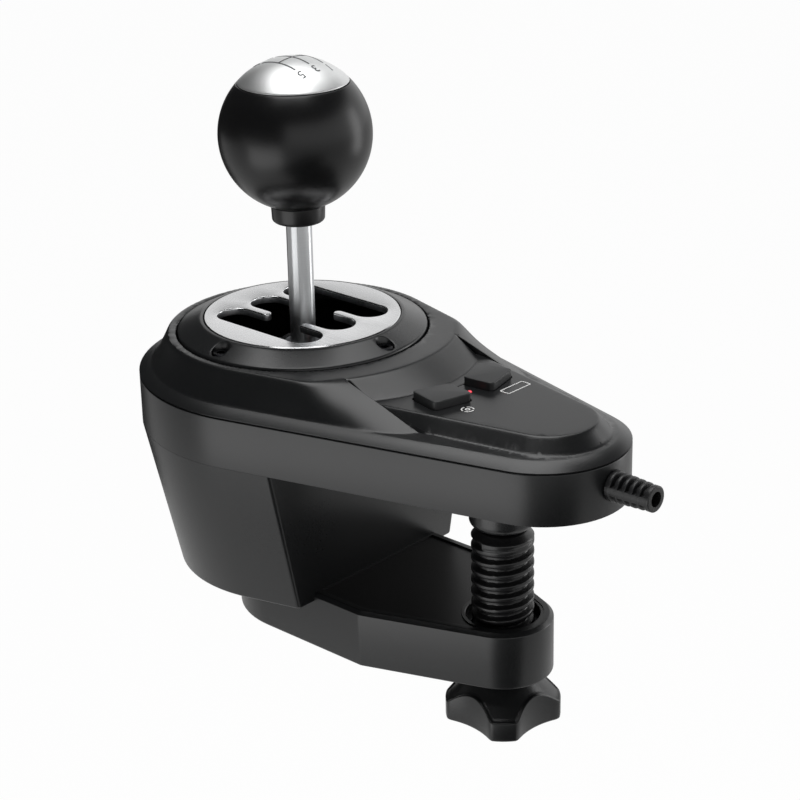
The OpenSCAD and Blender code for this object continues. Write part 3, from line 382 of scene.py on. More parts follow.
# Moves a closed loop of flat points inwards; the loop runs anticlockwise
def insetLoop(loop, distance):
    moved, count = [], len(loop)
    for i, p in enumerate(loop):
        before = (Vector(p) - Vector(loop[i - 1])).normalized()
        after = (Vector(loop[(i + 1) % count]) - Vector(p)).normalized()
        along = (before + after).normalized()
        lean = max(0.3, along.dot(after))
        moved.append((p[0] - along.y * distance / lean, p[1] + along.x * distance / lean))
    return moved


def raised(loop, z):
    return [(p[0], p[1], z) for p in loop]


# Turns a profile of radius and height about an upright axis
def turned(profile, centreY, count=96):
    return [raised(circlePoints((0, centreY), max(r, 1e-4), count), z) for r, z in profile]


# Joins doubled points, turns the faces outwards and keeps edges above an angle sharp
def cleanMesh(data, sharp):
    shell = bmesh.new()
    shell.from_mesh(data)
    bmesh.ops.remove_doubles(shell, verts=shell.verts, dist=0.0008 * mm)
    bmesh.ops.dissolve_degenerate(shell, edges=shell.edges, dist=0.0002 * mm)
    bmesh.ops.recalc_face_normals(shell, faces=shell.faces)
    shell.to_mesh(data)
    shell.free()
    data.shade_smooth()
    data.set_sharp_from_angle(angle=math.radians(sharp))


# Puts a finished mesh on its body
def placePiece(name, data, body, replaced):
    piece = bpy.data.objects.new(name, data)
    bpy.context.collection.objects.link(piece)
    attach(piece, body)
    if replaced:
        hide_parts(*replaced)
    return piece


def formMesh(name, form):
    data = bpy.data.meshes.new(name)
    data.from_pydata([[c * mm for c in p] for p in form["points"]], [], form["faces"])
    return data


def makePiece(name, form, body, looks, replaced=(), sharp=32):
    data = formMesh(name, form)
    for look in looks:
        data.materials.append(materials[look])
    data.polygons.foreach_set("material_index", form["kinds"])
    cleanMesh(data, sharp)
    return placePiece(name, data, body, replaced)


# A node's corners in millimetres
def nodeBox(name):
    low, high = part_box(name)
    return Vector(low) / mm, Vector(high) / mm


# Main places, read from the frame
bodyLow, bodyHigh = nodeBox("main_body")
shaftLow, shaftHigh = nodeBox("lever_shaft")
leverY = (shaftLow.y + shaftHigh.y) / 2
backR, noseTip = bodyHigh.x, bodyHigh.y

bodySet = {
    "noseR": 27.5,
    "wall": 2.5,
    "floor": 2.5,
    "leverHole": 36.4,
    "lowRound": 0.08,
    "lipRound": 0.4,
}
noseY = noseTip - bodySet["noseR"]
lean = math.asin((backR - bodySet["noseR"]) / (noseY - leverY))
leanDegrees = math.degrees(lean)


# The body's outline seen from above, moved in by inset: two arcs and the lines that touch both
def bodyLoop(inset, sideSteps=16):
    nose = arcPoints((0, noseY), bodySet["noseR"] - inset, leanDegrees, 180 - leanDegrees, 28)
    back = arcPoints((0, leverY), backR - inset, 180 - leanDegrees, 360 + leanDegrees, 56)
    sides = []
    for start, end in ((nose[-1], back[0]), (back[-1], nose[0])):
        sides.append([tuple(Vector(start).lerp(Vector(end), i / sideSteps)) for i in range(1, sideSteps)])
    return nose + sides[0] + back + sides[1]


# How far a point lies inside that outline
def bodyInset(x, y):
    side, ahead = abs(x), y - leverY
    along = ahead * math.cos(lean) - side * math.sin(lean)
    if along < 0:
        return backR - math.hypot(side, ahead)
    if along > (noseY - leverY) * math.cos(lean):
        return bodySet["noseR"] - math.hypot(side, y - noseY)
    return backR - side * math.cos(lean) - ahead * math.sin(lean)


def makeBody():
    form = newForm()
    wall, floorZ = bodySet["wall"], bodyLow.z + bodySet["floor"]
    lowZ, topZ = bodyLow.z, bodyHigh.z
    profile = roundPath([(wall, lowZ), (0, lowZ), (0, topZ), (wall, topZ), (wall, floorZ)],
                        [0, bodySet["lowRound"], bodySet["lipRound"], 0, 0])
    rings = [raised(bodyLoop(inset), z) for inset, z in profile]

    def holeRing(z):
        holeR = bodySet["leverHole"]
        turns = [math.atan2(y - leverY, x) for x, y in bodyLoop(0)]
        return [(holeR * math.cos(t), leverY + holeR * math.sin(t), z) for t in turns]

    addRings(form, [holeRing(lowZ)] + rings + [holeRing(floorZ)], True)
    makePiece("bodyShell", form, "housing", ["bodyAbs"], ["main_body"])


makeBody()
print("body made")


coverHigh = nodeBox("top_cover")[1].z
ringHigh = nodeBox("gate_ring")[1]
buttonHigh = nodeBox("button_right")[1].z
coverSet = {
    "seamGap": 0.5,
    "seamIn": 0.6,
    "shoulderIn": 4.3,
    "shoulderH": 2.9,
    "shoulderWall": 0.05,
    "shoulderBow": 0.5,
    "flankIn": 5.7,
    "crownFront": 52.0,
    "sideBow": -0.25,
    "wingBow": 0.3,
    "wingReach": 69.6,
    "wingTurn": 49.2,
    "laneX": 25.5,
    "wingX": 26.2,
    "edgeRound": 0.3,
    "facetR": 41.3,  # the front slope's lower edge, an arc about facetY
    "facetY": 22.06,
    "panelDrop": 5.1,
    "panelNoseR": 15.2,
    "panelNoseY": 105.0,
    "panelLean": 12.58,
    "panelSlope": 4.2,
    "shelfSlope": 0.16,
    "shelfFrom": 73.0,  # ahead of the lever, where the gentle slope begins, and how soon it is full
    "shelfOver": 8.0,
    "skin": 2.2,
    "lampHole": 0.9,
    "ringGap": 0.35,
    "frontFrom": 30.0,  # ahead of the lever, where wings, front slope and panel begin
    "bulgeTurn": 75.0,  # degrees from straight ahead, where the wings begin to bulge
    "bulgeOver": 25.0,
    "edgeFall": 0.8,
    "laneOver": 4.0,
    "crownBlend": 2.0,  # how softly the forms run into each other
    "skirtBlend": 5.0,
    "crownRound": 0.9,
    "panelRound": 0.6,
    "facetRound": 0.35,
    "panelBlend": 0.25,
    "shoulderSteps": 10,
    "rowFrom": 44.0,  # rows of points along the lane and the wings
    "rowTo": 78.0,
    "panelFrom": 62.0,
    "grid": 0.6,
    "coarse": 5,  # every so many points of the lattice stay where the skin is flat
    "bend": 0.035,
}
seamZ = bodyHigh.z
shelfZ = seamZ + coverSet["shoulderH"]
panelZ = coverHigh - coverSet["panelDrop"]
gateHoleR = ringHigh.x + coverSet["ringGap"]

# Corners of the right button seen from above, from the lever's axis
buttonSet = {
    "corners": [(5, 68.7), (14.6, 64.8), (16.8, 74.1), (6, 76.8)],
    "cornerRound": 1.2,
    "grow": 0.3,
    "gap": 0.45,
    "topRound": 0.4,
    "flange": 0.5,
    "flangeH": 1.5,
}


# The outline of a button, grown by a distance
def buttonLoop(side, grow):
    corners = [(side * x, leverY + y) for x, y in buttonSet["corners"]]
    if side < 0:
        corners.reverse()
    spread = buttonSet["cornerRound"] + buttonSet["grow"] + grow
    outer = insetLoop(corners, -spread)
    return roundPath(outer, spread, 6, True)


def unitShare(value):
    return min(1, max(0, value))


def softMin(a, b, blend):
    near = max(blend - abs(a - b), 0) / blend
    return min(a, b) - near * near * blend / 4


def softMax(a, b, blend):
    return -softMin(-a, -b, blend)


# The dome around the gate: a flat crown with a flank that falls to the shelf
def domeHeight(side, ahead):
    reach, turn = math.hypot(side, ahead), math.degrees(math.atan2(side, ahead))
    along = math.cos(math.radians(max(0, 90 - leanDegrees - turn)))
    skirtR = backR - coverSet["shoulderIn"]
    crown = softMin((skirtR - coverSet["flankIn"]) / along, coverSet["crownFront"], coverSet["crownBlend"])
    wing = coverSet["wingReach"] / math.cos(math.radians(min(80, abs(coverSet["wingTurn"] - turn))))
    skirt = softMin(skirtR / along, wing, coverSet["skirtBlend"])
    share = (reach - crown) / max(skirt - crown, 1)
    # 1 on the wings, where the flank bulges; 0 at the sides and back
    forward = unitShare((coverSet["bulgeTurn"] - turn) / coverSet["bulgeOver"])
    bow = coverSet["sideBow"] + (coverSet["wingBow"] - coverSet["sideBow"]) * forward
    if share <= 0:
        up = 1 - (1 - bow) * share
    elif share < 1:
        up = (1 - share) * (1 + bow * share)
    else:
        up = (1 - share) * (1 + bow)
    return softMin(coverHigh, shelfZ + (coverHigh - shelfZ) * up, coverSet["crownRound"])


# How far a point lies outside the control panel's outline
def panelOutside(side, ahead):
    tilt = math.radians(coverSet["panelLean"])
    front = ahead - coverSet["panelNoseY"]
    if front > side * math.tan(tilt):
        return math.hypot(side, front) - coverSet["panelNoseR"]
    return side * math.cos(tilt) + front * math.sin(tilt) - coverSet["panelNoseR"]


# The control panel: flat, with a steep slope on its outline and a gentle one from there to the shoulder
def panelHeight(side, ahead):
    outside, wide = panelOutside(side, ahead), coverSet["panelSlope"]
    room = bodyInset(side, ahead + leverY) - coverSet["shoulderIn"]
    gentle = coverSet["shelfSlope"] * unitShare((ahead - coverSet["shelfFrom"]) / coverSet["shelfOver"])
    foot = shelfZ + gentle * max(0, room - max(0, wide - outside))
    steep = softMin(panelZ, panelZ - outside * (panelZ - foot) / wide, coverSet["panelRound"])
    return max(steep, foot) if outside > wide * 0.5 else steep


# The front slope between the wings, from the crown's edge down to the panel
def facetHeight(side, ahead):
    top = math.sqrt(coverSet["crownFront"] ** 2 - side ** 2)
    foot = coverSet["facetY"] + math.sqrt(coverSet["facetR"] ** 2 - side ** 2)
    slope = coverHigh - coverSet["panelDrop"] * (ahead - top) / (foot - top)
    return softMin(coverHigh, slope, coverSet["facetRound"])


def coverHeight(x, y):
    side, ahead = abs(x), y - leverY
    reach = math.hypot(side, ahead)
    edge, fall = coverSet["edgeRound"], coverSet["edgeFall"]
    inFront, pastCrown = ahead > coverSet["frontFrom"], reach > coverSet["crownFront"]
    if ahead < coverSet["frontFrom"] or side >= coverSet["wingX"]:
        height = domeHeight(side, ahead)
        if inFront and pastCrown:
            height -= max(0, coverSet["wingX"] + edge - side) * fall
    elif side <= coverSet["laneX"]:
        height = facetHeight(side, ahead)
        if pastCrown:
            height -= max(0, side - coverSet["laneX"] + edge) * fall
    else:
        opened = unitShare((reach - coverSet["crownFront"]) / coverSet["laneOver"])
        height = coverHigh + (panelHeight(side, ahead) - coverHigh) * opened
    if inFront:
        height = softMax(height, panelHeight(side, ahead), coverSet["panelBlend"])
    height = max(height, shelfZ)
    lip = max(0, gateHoleR + edge - reach) / edge
    return height - edge * min(1, lip) ** 2


def insideLoop(x, y, loop):
    inside = False
    for i, (x1, y1) in enumerate(loop):
        x0, y0 = loop[i - 1]
        if (y0 > y) != (y1 > y) and x < x0 + (y - y0) * (x1 - x0) / (y1 - y0):
            inside = not inside
    return inside


# Points that the cover's skin passes through: rows along its edges, and a lattice where it bends
def coverPoints(solid):
    edge, grid, tilt = coverSet["edgeRound"], coverSet["grid"], coverSet["panelLean"]
    lane, wing = coverSet["laneX"], coverSet["wingX"]
    rows = [lane - edge, lane - edge / 2, lane - 0.01, lane + 0.03]
    rows += [wing - 0.03, wing + 0.01, wing + edge / 2, wing + edge]
    rowStart, rowEnd = leverY + coverSet["rowFrom"], leverY + coverSet["rowTo"]
    rowCount = int((rowEnd - rowStart) / grid)
    points = [(side * x, rowStart + grid * i) for side in (1, -1) for x in rows for i in range(rowCount)]
    for lift in (edge / 3, edge * 2 / 3, edge):
        points += circlePoints((0, leverY), gateHoleR + lift, 160)
    # Rows along the panel's edge, close enough to round it
    noseCentre = (0, leverY + coverSet["panelNoseY"])
    for offset in (-0.36, -0.18, 0, 0.18, 0.36):
        nose = arcPoints(noseCentre, coverSet["panelNoseR"] + offset, tilt, 180 - tilt, 90)
        startX, startY = nose[0]
        back = [(startX + math.tan(math.radians(tilt)) * i / 2, startY - i / 2) for i in range(1, 92)]
        points += [p for p in nose + back + [(-x, y) for x, y in back]
                   if p[1] > leverY + coverSet["panelFrom"] or offset == 0]

    def nearRows(x, y):
        if rowStart - grid < y < rowEnd + grid and rows[0] - 0.25 < abs(x) < rows[-1] + 0.25:
            return True
        if math.hypot(x, y - leverY) < gateHoleR + edge + 0.25:
            return True
        return y > leverY + coverSet["panelFrom"] - 0.5 and abs(panelOutside(abs(x), y - leverY)) < 0.6

    rise, coarse = grid * 0.866, coverSet["coarse"]  # rows of a triangular lattice
    for j in range(int((noseTip - leverY + backR) / rise) + 1):
        y = leverY - backR + j * rise
        for i in range(int(2 * backR / grid) + 1):
            x = -backR + (i + 0.5 * (j % 2)) * grid
            if not solid(x, y, 0.35) or nearRows(x, y):
                continue
            around = (coverHeight(x + grid, y) + coverHeight(x - grid, y) + coverHeight(x, y + grid)
                      + coverHeight(x, y - grid))
            bend = abs(around - 4 * coverHeight(x, y)) / grid ** 2
            if bend > coverSet["bend"] or (i % coarse == 0 and j % coarse == 0):
                points.append((x, y))
    return points


def makeCover():
    lampLow, lampHigh = nodeBox("signal_lamp")
    lampY, lampR = (lampLow.y + lampHigh.y) / 2, coverSet["lampHole"]
    shoulderIn, floorZ = coverSet["shoulderIn"], seamZ + coverSet["seamGap"]
    rim = bodyLoop(shoulderIn)
    holes = [circlePoints((0, leverY), gateHoleR, 160), circlePoints((0, lampY), lampR, 24)]
    holes += [buttonLoop(side, buttonSet["gap"]) for side in (1, -1)]

    def solid(x, y, margin=0.0):
        if bodyInset(x, y) < shoulderIn + margin or math.hypot(x, y - leverY) < gateHoleR + margin:
            return False
        if math.hypot(x, y - lampY) < lampR + margin:
            return False
        return not any(insideLoop(x, y, buttonLoop(side, buttonSet["gap"] + margin)) for side in (1, -1)
                       if abs(y - lampY) < 12)  # only near the buttons

    def underside(x, y):
        return max(floorZ, coverHeight(x, y) - coverSet["skin"])

    form, loose = newForm(), coverPoints(solid)
    for lift in (coverHeight, underside):
        addFill(form, [rim] + holes, lift, solid, loose)
    for hole in holes:
        addRings(form, [[(x, y, lift(x, y)) for x, y in hole] for lift in (coverHeight, underside)])
    profile = [(bodySet["wall"], floorZ), (bodySet["wall"], seamZ), (coverSet["seamIn"], seamZ),
               (coverSet["seamIn"], floorZ), (0.3, floorZ), (0.08, floorZ + 0.08)]
    rings = [raised(bodyLoop(inset), z) for inset, z in profile]
    # The shoulder steepens on its way out to the seam
    steps, bow = coverSet["shoulderSteps"], coverSet["shoulderBow"]
    fall = shelfZ - floorZ - coverSet["shoulderWall"]
    for i in range(steps):
        out = 1 - i / steps
        z = shelfZ - fall * out * (1 + bow * out) / (1 + bow)
        rings.append(raised(bodyLoop(shoulderIn * i / steps), z))
    rings.append([(x, y, coverHeight(x, y)) for x, y in rim])
    addRings(form, [[(x, y, underside(x, y)) for x, y in rim]] + rings)
    makePiece("topCover", form, "housing", ["bodyAbs"], ["top_cover"], 40)
    print("cover points:", len(loose))


makeCover()
print("top cover made")


# The spine under the round end: the body's outline, drawn in on the way down and cut flat in front
spineLow, spineHigh = nodeBox("spine_shell")
spineSet = {
    "drawnIn": 10.5,
    "edgeRound": 1.6,
    "lowRound": 0.8,
    "topRound": 0.05,
    "wall": 2.5,
    "lap": 3.3,
    "floor": 3.0,
}


def spineLoop(inset, frontY):
    radius, front = backR - inset, frontY - leverY
    corner = ((radius - front * math.sin(lean)) / math.cos(lean), frontY)
    back = arcPoints((0, leverY), radius, 180 - leanDegrees, 360 + leanDegrees, 64)
    path = [(corner[0], corner[1]), (-corner[0], corner[1])] + back
    return roundPath(path, [spineSet["edgeRound"]] * 2 + [0] * len(back), 6, True)


def makeSpine():
    form = newForm()
    height = spineHigh.z - spineLow.z
    pocketZ = spineLow.z + spineSet["lap"]
    floorZ = pocketZ + spineSet["floor"]
    wall = spineSet["wall"]

    def ring(inset, z, frontIn):
        drawn = spineSet["drawnIn"] * (spineHigh.z - z) / height
        return raised(spineLoop(inset + drawn, spineHigh.y - frontIn), z)

    outer = roundPath([(wall, spineLow.z), (0, spineLow.z), (0, spineHigh.z), (wall, spineHigh.z)],
                      [0, spineSet["lowRound"], spineSet["topRound"], 0])
    rings = [ring(d, z, d) for d, z in outer]
    addPlug(form, [ring(wall, pocketZ, wall)] + rings + [ring(wall, floorZ, wall)])
    makePiece("spineShell", form, "housing", ["bodyAbs"], ["spine_shell"])


makeSpine()
print("spine made")


# The foot: a long plate with a rounded rim, a sunk deck and the hole for the clamp screw
footLow, footHigh = nodeBox("foot_shell")
deckLow, deckHigh = nodeBox("foot_deck")
baseHigh = nodeBox("foot_base")[1].z
nutHigh = nodeBox("clamp_nut")[1].z
footSet = {
    "backY": -78.5,
    "cornerY": -35.0,
    "cornerRound": 5.0,
    "noseR": 16.4,
    "rim": 3.2,
    "rimCut": 1.3,
    "rimRound": 0.5,
    "lowRound": 1.0,
    "wall": 2.5,
    "holeR": 12.0,
    "holeLipR": 13.25,
    "holeLipH": 0.35,
    "holeEdge": 0.25,
}


def footLoop(inset):
    wide, corner = footHigh.x, (footHigh.x, footSet["cornerY"])
    turn = math.degrees(math.atan2(wide, -footSet["cornerY"])
                        - math.asin(footSet["noseR"] / math.hypot(wide, footSet["cornerY"])))
    nose = arcPoints((0, 0), footSet["noseR"], turn, 180 - turn, 32)
    back = arcPoints((0, footSet["backY"]), wide, 180, 360, 40)
    path = nose + [(-corner[0], corner[1])] + back + [corner]
    radii = [0] * len(nose) + [footSet["cornerRound"]] + [0] * len(back) + [footSet["cornerRound"]]
    loop = roundPath(path, radii, 8, True)
    return insetLoop(loop, inset)


def makeFoot():
    form = newForm()
    wall, cut, soft = footSet["wall"], footSet["rimCut"], footSet["rimRound"]
    rimIn = footSet["rim"] - 0.2
    profile = roundPath(
        [(wall, footLow.z), (0, footLow.z), (0, footHigh.z - cut), (cut, footHigh.z), (rimIn, footHigh.z)],
        [0, footSet["lowRound"], soft, soft, 0])
    rings = [raised(footLoop(inset), z) for inset, z in profile]
    addRings(form, [raised(footLoop(wall), baseHigh)] + rings)
    # The deck's outline: the foot's, cut straight at its back
    rimLoop, deckBack = footLoop(rimIn), deckLow.y
    deckLoop = [p for p in footLoop(footSet["rim"]) if p[1] > deckBack]
    start = max(range(len(deckLoop)), key=lambda i: (Vector(deckLoop[i]) - Vector(deckLoop[i - 1])).length)
    deckLoop = deckLoop[start:] + deckLoop[:start]
    deckLoop = [(deckLoop[0][0], deckBack)] + deckLoop + [(deckLoop[-1][0], deckBack)]
    holeR, lipR, lipZ = footSet["holeR"], footSet["holeLipR"], deckHigh.z + footSet["holeLipH"]
    lip, hole, holeTop = [circlePoints((0, 0), r, 64) for r in (lipR, holeR, holeR + footSet["holeEdge"])]
    roof = footLoop(wall)

    def onRim(x, y):
        return insideLoop(x, y, rimLoop) and not insideLoop(x, y, deckLoop)

    def onDeck(x, y):
        return insideLoop(x, y, deckLoop) and math.hypot(x, y) > lipR - 0.01

    def onRoof(x, y):
        return insideLoop(x, y, roof) and math.hypot(x, y) > holeR - 0.01

    addFill(form, [rimLoop, deckLoop], lambda x, y: footHigh.z, onRim)
    addFill(form, [deckLoop, lip], lambda x, y: deckLow.z, onDeck)
    addRings(form, [raised(deckLoop, footHigh.z), raised(deckLoop, deckLow.z)])
    addRings(form, [raised(lip, deckLow.z), raised(lip, lipZ), raised(holeTop, lipZ),
                    raised(hole, lipZ - footSet["holeEdge"]), raised(hole, nutHigh), raised(hole, baseHigh)])
    addFill(form, [roof, hole], lambda x, y: baseHigh, onRoof)
    makePiece("footShell", form, "housing", ["bodyAbs"], ["foot_shell"])


makeFoot()
print("foot made")


# The ring around the gate: a flat land, a cone and four pockets for its screws
plateLow, plateHigh = nodeBox("gate_plate")
ringLow = nodeBox("gate_ring")[0]
screwHigh = nodeBox("gate_screws")[1]
ringSet = {
    "gap": 0.25,
    "plateGap": 0.3,
    "seatR": 29.7,
    "landR": 33.9,
    "landDrop": 0.2,
    "landRound": 0.3,
    "coneFoot": 31.3,
    "edgeRound": 0.4,
    "screwR": 37.3,
    "screwCount": 4,
    "pocketR": 3.0,
    "pocketLip": 0.3,
    "lipDrop": 0.25,
    "pocketZ": 30.9,
}


# Centres of the ring's screws
def screwSpots():
    spots = [polar(ringSet["screwR"], 360 * i / ringSet["screwCount"]) for i in range(ringSet["screwCount"])]
    return [(x, leverY + y) for x, y in spots]


def makeRing():
    inner, outer = plateHigh.x + ringSet["plateGap"], ringHigh.x - ringSet["gap"]
    landR, edge = ringSet["landR"], ringSet["edgeRound"]
    pocketR, lip = ringSet["pocketR"], ringSet["pocketLip"]
    landZ = plateHigh.z - ringSet["landDrop"]
    slope = (landZ - ringSet["coneFoot"]) / (outer - landR)
    spots = screwSpots()

    # How far a point lies outside the nearest pocket
    def clear(x, y):
        return min(math.hypot(x - px, y - py) for px, py in spots) - pocketR

    def height(x, y):
        reach = math.hypot(x, y - leverY)
        high = softMin(landZ, landZ - (reach - landR) * slope, ringSet["landRound"])
        high -= ringSet["lipDrop"] * max(0, 1 - clear(x, y) / lip) ** 2
        return high - max(0, (reach - outer + edge) / edge) ** 2 * edge

    def solid(x, y, margin=0.0):
        return inner + margin < math.hypot(x, y - leverY) < outer - margin and clear(x, y) > margin

    form = newForm()
    edges = [circlePoints((0, leverY), r, 200) for r in (inner, outer)]
    holes = [circlePoints(p, pocketR, 40) for p in spots]
    circles = [inner + 0.3, landR - 0.2, landR, landR + 0.2, landR + 0.5] + list(range(35, 41)) + [40.8]
    circles += [outer - edge * share for share in (1, 0.7, 0.4, 0.2)]
    loose = [p for r in circles for p in circlePoints((0, leverY), r, 200)
             if solid(p[0], p[1], 0.02) and clear(p[0], p[1]) > lip + 0.05]
    for spot in spots:
        loose += circlePoints(spot, pocketR + lip / 2, 40) + circlePoints(spot, pocketR + lip, 40)
    addFill(form, edges + holes, height, solid, loose)
    for hole in holes:
        bottom = raised(hole, ringSet["pocketZ"])
        addRings(form, [[(x, y, height(x, y)) for x, y in hole], bottom])
        addCap(form, bottom)
    profile = [(outer, height(0, leverY + outer)), (outer, ringLow.z), (ringSet["seatR"], ringLow.z),
               (ringSet["seatR"], plateLow.z), (inner, plateLow.z), (inner, height(0, leverY + inner))]
    addRings(form, turned(profile, leverY, 200))
    makePiece("gateRing", form, "housing", ["ringAbs"], ["gate_ring"], 40)


# The gate plate's opening, three slots joined by a cross channel, grown by a distance
plateSet = {
    "columns": 15.5,
    "slotR": 6.0,
    "slotEnd": 16.0,
    "channel": 7.5,
    "bevel": 0.45,
    "edgeBevel": 0.3,
}


def slotLoop(grow):
    column, end, slotR = plateSet["columns"], plateSet["slotEnd"], plateSet["slotR"] + grow
    fingerR = column / 2 - plateSet["slotR"] - grow
    fingerY = plateSet["channel"] + column / 2 - plateSet["slotR"]
    loop = []
    for side in (1, -1):
        for number in (1, 0, -1):
            x = side * number * column
            loop += arcPoints((x, leverY + side * end), slotR, 90 - 90 * side, 270 - 90 * side, 20)
            if number >= 0:
                loop += arcPoints((x - side * column / 2, leverY + side * fingerY), fingerR,
                                  90 - 90 * side, -90 - 90 * side, 12)
    return loop


def makePlate():
    form, bevel, edge = newForm(), plateSet["bevel"], plateSet["edgeBevel"]
    opening, wide = slotLoop(0), slotLoop(bevel)
    rim = circlePoints((0, leverY), plateHigh.x, 180)
    rimTop = circlePoints((0, leverY), plateHigh.x - edge, 180)
    for outer, inner, z in ((rimTop, wide, plateHigh.z), (rim, opening, plateLow.z)):
        addFill(form, [outer, inner], lambda x, y: z,
                lambda x, y: math.hypot(x, y - leverY) < plateHigh.x and not insideLoop(x, y, inner))
    sides = [raised(rimTop, plateHigh.z), raised(rim, plateHigh.z - edge), raised(rim, plateLow.z)]
    addRings(form, sides, False, 1)
    rounded = [(t / 4, 1 - math.sqrt(1 - (t / 4) ** 2)) for t in range(5)]
    addRings(form, [raised(slotLoop(bevel * (1 - s)), plateHigh.z - bevel * d) for s, d in rounded], False, 1)
    addRings(form, [raised(opening, plateHigh.z - bevel), raised(opening, plateLow.z)], False, 2)
    looks = ["brushedAluminium", "cutAluminium", "sawnAluminium"]
    makePiece("gatePlate", form, "housing", looks, ["gate_plate"])


makeRing()
makePlate()
print("gate made")


# The node group that sets one template on every point of a mesh; "size" on the points scales it
def makeRepeat():
    group = bpy.data.node_groups.new("repeat on points", "GeometryNodeTree")
    for name, kind in (("Points", "NodeSocketGeometry"), ("Template", "NodeSocketObject"),
                       ("Material", "NodeSocketMaterial"), ("Turn", "NodeSocketFloat")):
        group.interface.new_socket(name, in_out="INPUT", socket_type=kind)
    group.interface.new_socket("Pieces", in_out="OUTPUT", socket_type="NodeSocketGeometry")
    given = group.nodes.new("NodeGroupInput")
    result = group.nodes.new("NodeGroupOutput")
    template = addNode(group, "GeometryNodeObjectInfo", None, {"Object": given.outputs["Template"]})
    size = addNode(group, "GeometryNodeInputNamedAttribute", {"data_type": "FLOAT_VECTOR", "Name": "size"})
    turn = addNode(group, "ShaderNodeCombineXYZ", None, {"Z": given.outputs["Turn"]})
    placed = addNode(group, "GeometryNodeInstanceOnPoints", None,
                     {"Points": given.outputs["Points"], "Instance": template.outputs["Geometry"],
                      "Rotation": turn.outputs["Vector"], "Scale": size.outputs["Attribute"]})
    real = addNode(group, "GeometryNodeRealizeInstances", None, {"Geometry": placed.outputs["Instances"]})
    painted = addNode(group, "GeometryNodeSetMaterial", None,
                      {"Geometry": real.outputs["Geometry"], "Material": given.outputs["Material"]})
    group.links.new(painted.outputs["Geometry"], result.inputs["Pieces"])
    return group


repeatGroup = makeRepeat()


def repeatPiece(name, points, sizes, template, look, turn, body, replaced):
    shape = formMesh(name + "Template", template)
    cleanMesh(shape, 35)
    source = bpy.data.objects.new(name + "Template", shape)
    data = formMesh(name + "Points", {"points": points, "faces": []})
    scale = data.attributes.new("size", "FLOAT_VECTOR", "POINT")
    scale.data.foreach_set("vector", [c for size in sizes for c in size])
    holder = bpy.data.objects.new(name + "Points", data)
    bpy.context.collection.objects.link(holder)
    modifier = holder.modifiers.new("repeat", "NODES")
    modifier.node_group = repeatGroup
    given = {"Template": source, "Material": materials[look], "Turn": math.radians(turn)}
    for item in repeatGroup.interface.items_tree:
        if item.item_type == "SOCKET" and item.in_out == "INPUT" and item.name in given:
            modifier[item.identifier] = given[item.name]
    bpy.context.view_layer.update()
    made = bpy.data.meshes.new_from_object(holder.evaluated_get(bpy.context.evaluated_depsgraph_get()))
    made.name = name
    bpy.data.objects.remove(holder)
    bpy.data.objects.remove(source)
    return placePiece(name, made, body, replaced)


# A pan-head screw with a hexagon socket, the top of its head at height zero
def screwForm(sizes):
    form, count = newForm(), 48
    headR, headH, shankR, hexR = sizes["headR"], sizes["headH"], sizes["shankR"], sizes["across"] / 2
    hexagon = []
    for i in range(count):
        turn = 360 * i / count
        reach = hexR / math.cos(math.radians((turn + 30) % 60 - 30))
        hexagon.append(polar(reach, turn))
    profile = roundPath([(hexR + 0.5, 0), (headR, 0), (headR, -headH), (shankR, -headH),
                         (shankR, -headH - sizes["length"])], [0, headH * 0.4, 0, 0, 0], 5)
    rings = [raised(hexagon, -sizes["deep"]), raised(hexagon, -0.1), raised(insetLoop(hexagon, -0.1), 0)]
    addPlug(form, rings + [raised(circlePoints((0, 0), r, count), z) for r, z in profile])
    return form


gateScrewSet = {
    "headR": 2.7,
    "headH": 1.5,
    "across": 2.4,
    "deep": 1.1,
    "shankR": 1.4,
    "length": 4.0,
    "turn": 11.0,
}


def makeGateScrews():
    points = raised(screwSpots(), screwHigh.z)
    repeatPiece("gateScrews", points, [(1, 1, 1)] * len(points), screwForm(gateScrewSet), "blackSteel",
                gateScrewSet["turn"], "housing", ["gate_screws"])


makeGateScrews()
print("gate screws made")


# The lever: chromed shaft, collar, ball and cap
ballLow, ballHigh = nodeBox("knob_ball")
capLow, capHigh = nodeBox("knob_cap")
collarLow, collarHigh = nodeBox("knob_collar")
ballR = ballHigh.x
ballZ = capHigh.z - ballR
knobSet = {
    "jointGap": 0.3,
    "jointDeep": 0.5,
    "edgeRound": 0.35,
    "collarRound": 1.3,
    "collarTaper": 0.25,
    "collarTopRound": 0.3,
    "collarGap": 0.1,
    "shaftRound": 0.5,
    "capRoom": 0.6,
}
# Angles on the ball, in degrees up from its middle
jointTurn = math.degrees(math.asin((capLow.z - ballZ) / ballR))
gapTurn = math.degrees(knobSet["jointGap"] / 2 / ballR)
roundTurn = math.degrees(knobSet["edgeRound"] / ballR)


def makeShaft():
    form, wide = newForm(), shaftHigh.x
    profile = roundPath([(0, shaftLow.z), (wide, shaftLow.z), (wide, shaftHigh.z), (0, shaftHigh.z)],
                        [0, knobSet["shaftRound"], knobSet["shaftRound"], 0])
    addRings(form, turned(profile, leverY, 96))
    makePiece("leverShaft", form, "lever", ["chrome"], ["lever_shaft"])


def makeCollar():
    form, wide, boreR = newForm(), collarHigh.x, shaftHigh.x + knobSet["collarGap"]
    lowR, lowZ, topZ = wide - knobSet["collarTaper"], collarLow.z, collarHigh.z
    profile = roundPath([(boreR, lowZ), (lowR, lowZ), (wide, topZ), (boreR, topZ)],
                        [0, knobSet["collarRound"], knobSet["collarTopRound"], 0], 8)
    addRings(form, turned(profile, leverY, 96), True)
    makePiece("knobCollar", form, "lever", ["ballLacquer"], ["knob_collar"])


# A point of the ball's profile, sunk below its surface
def ballPoint(turn, sink=0.0):
    r, z = polar(ballR - sink, turn)
    return r, ballZ + z


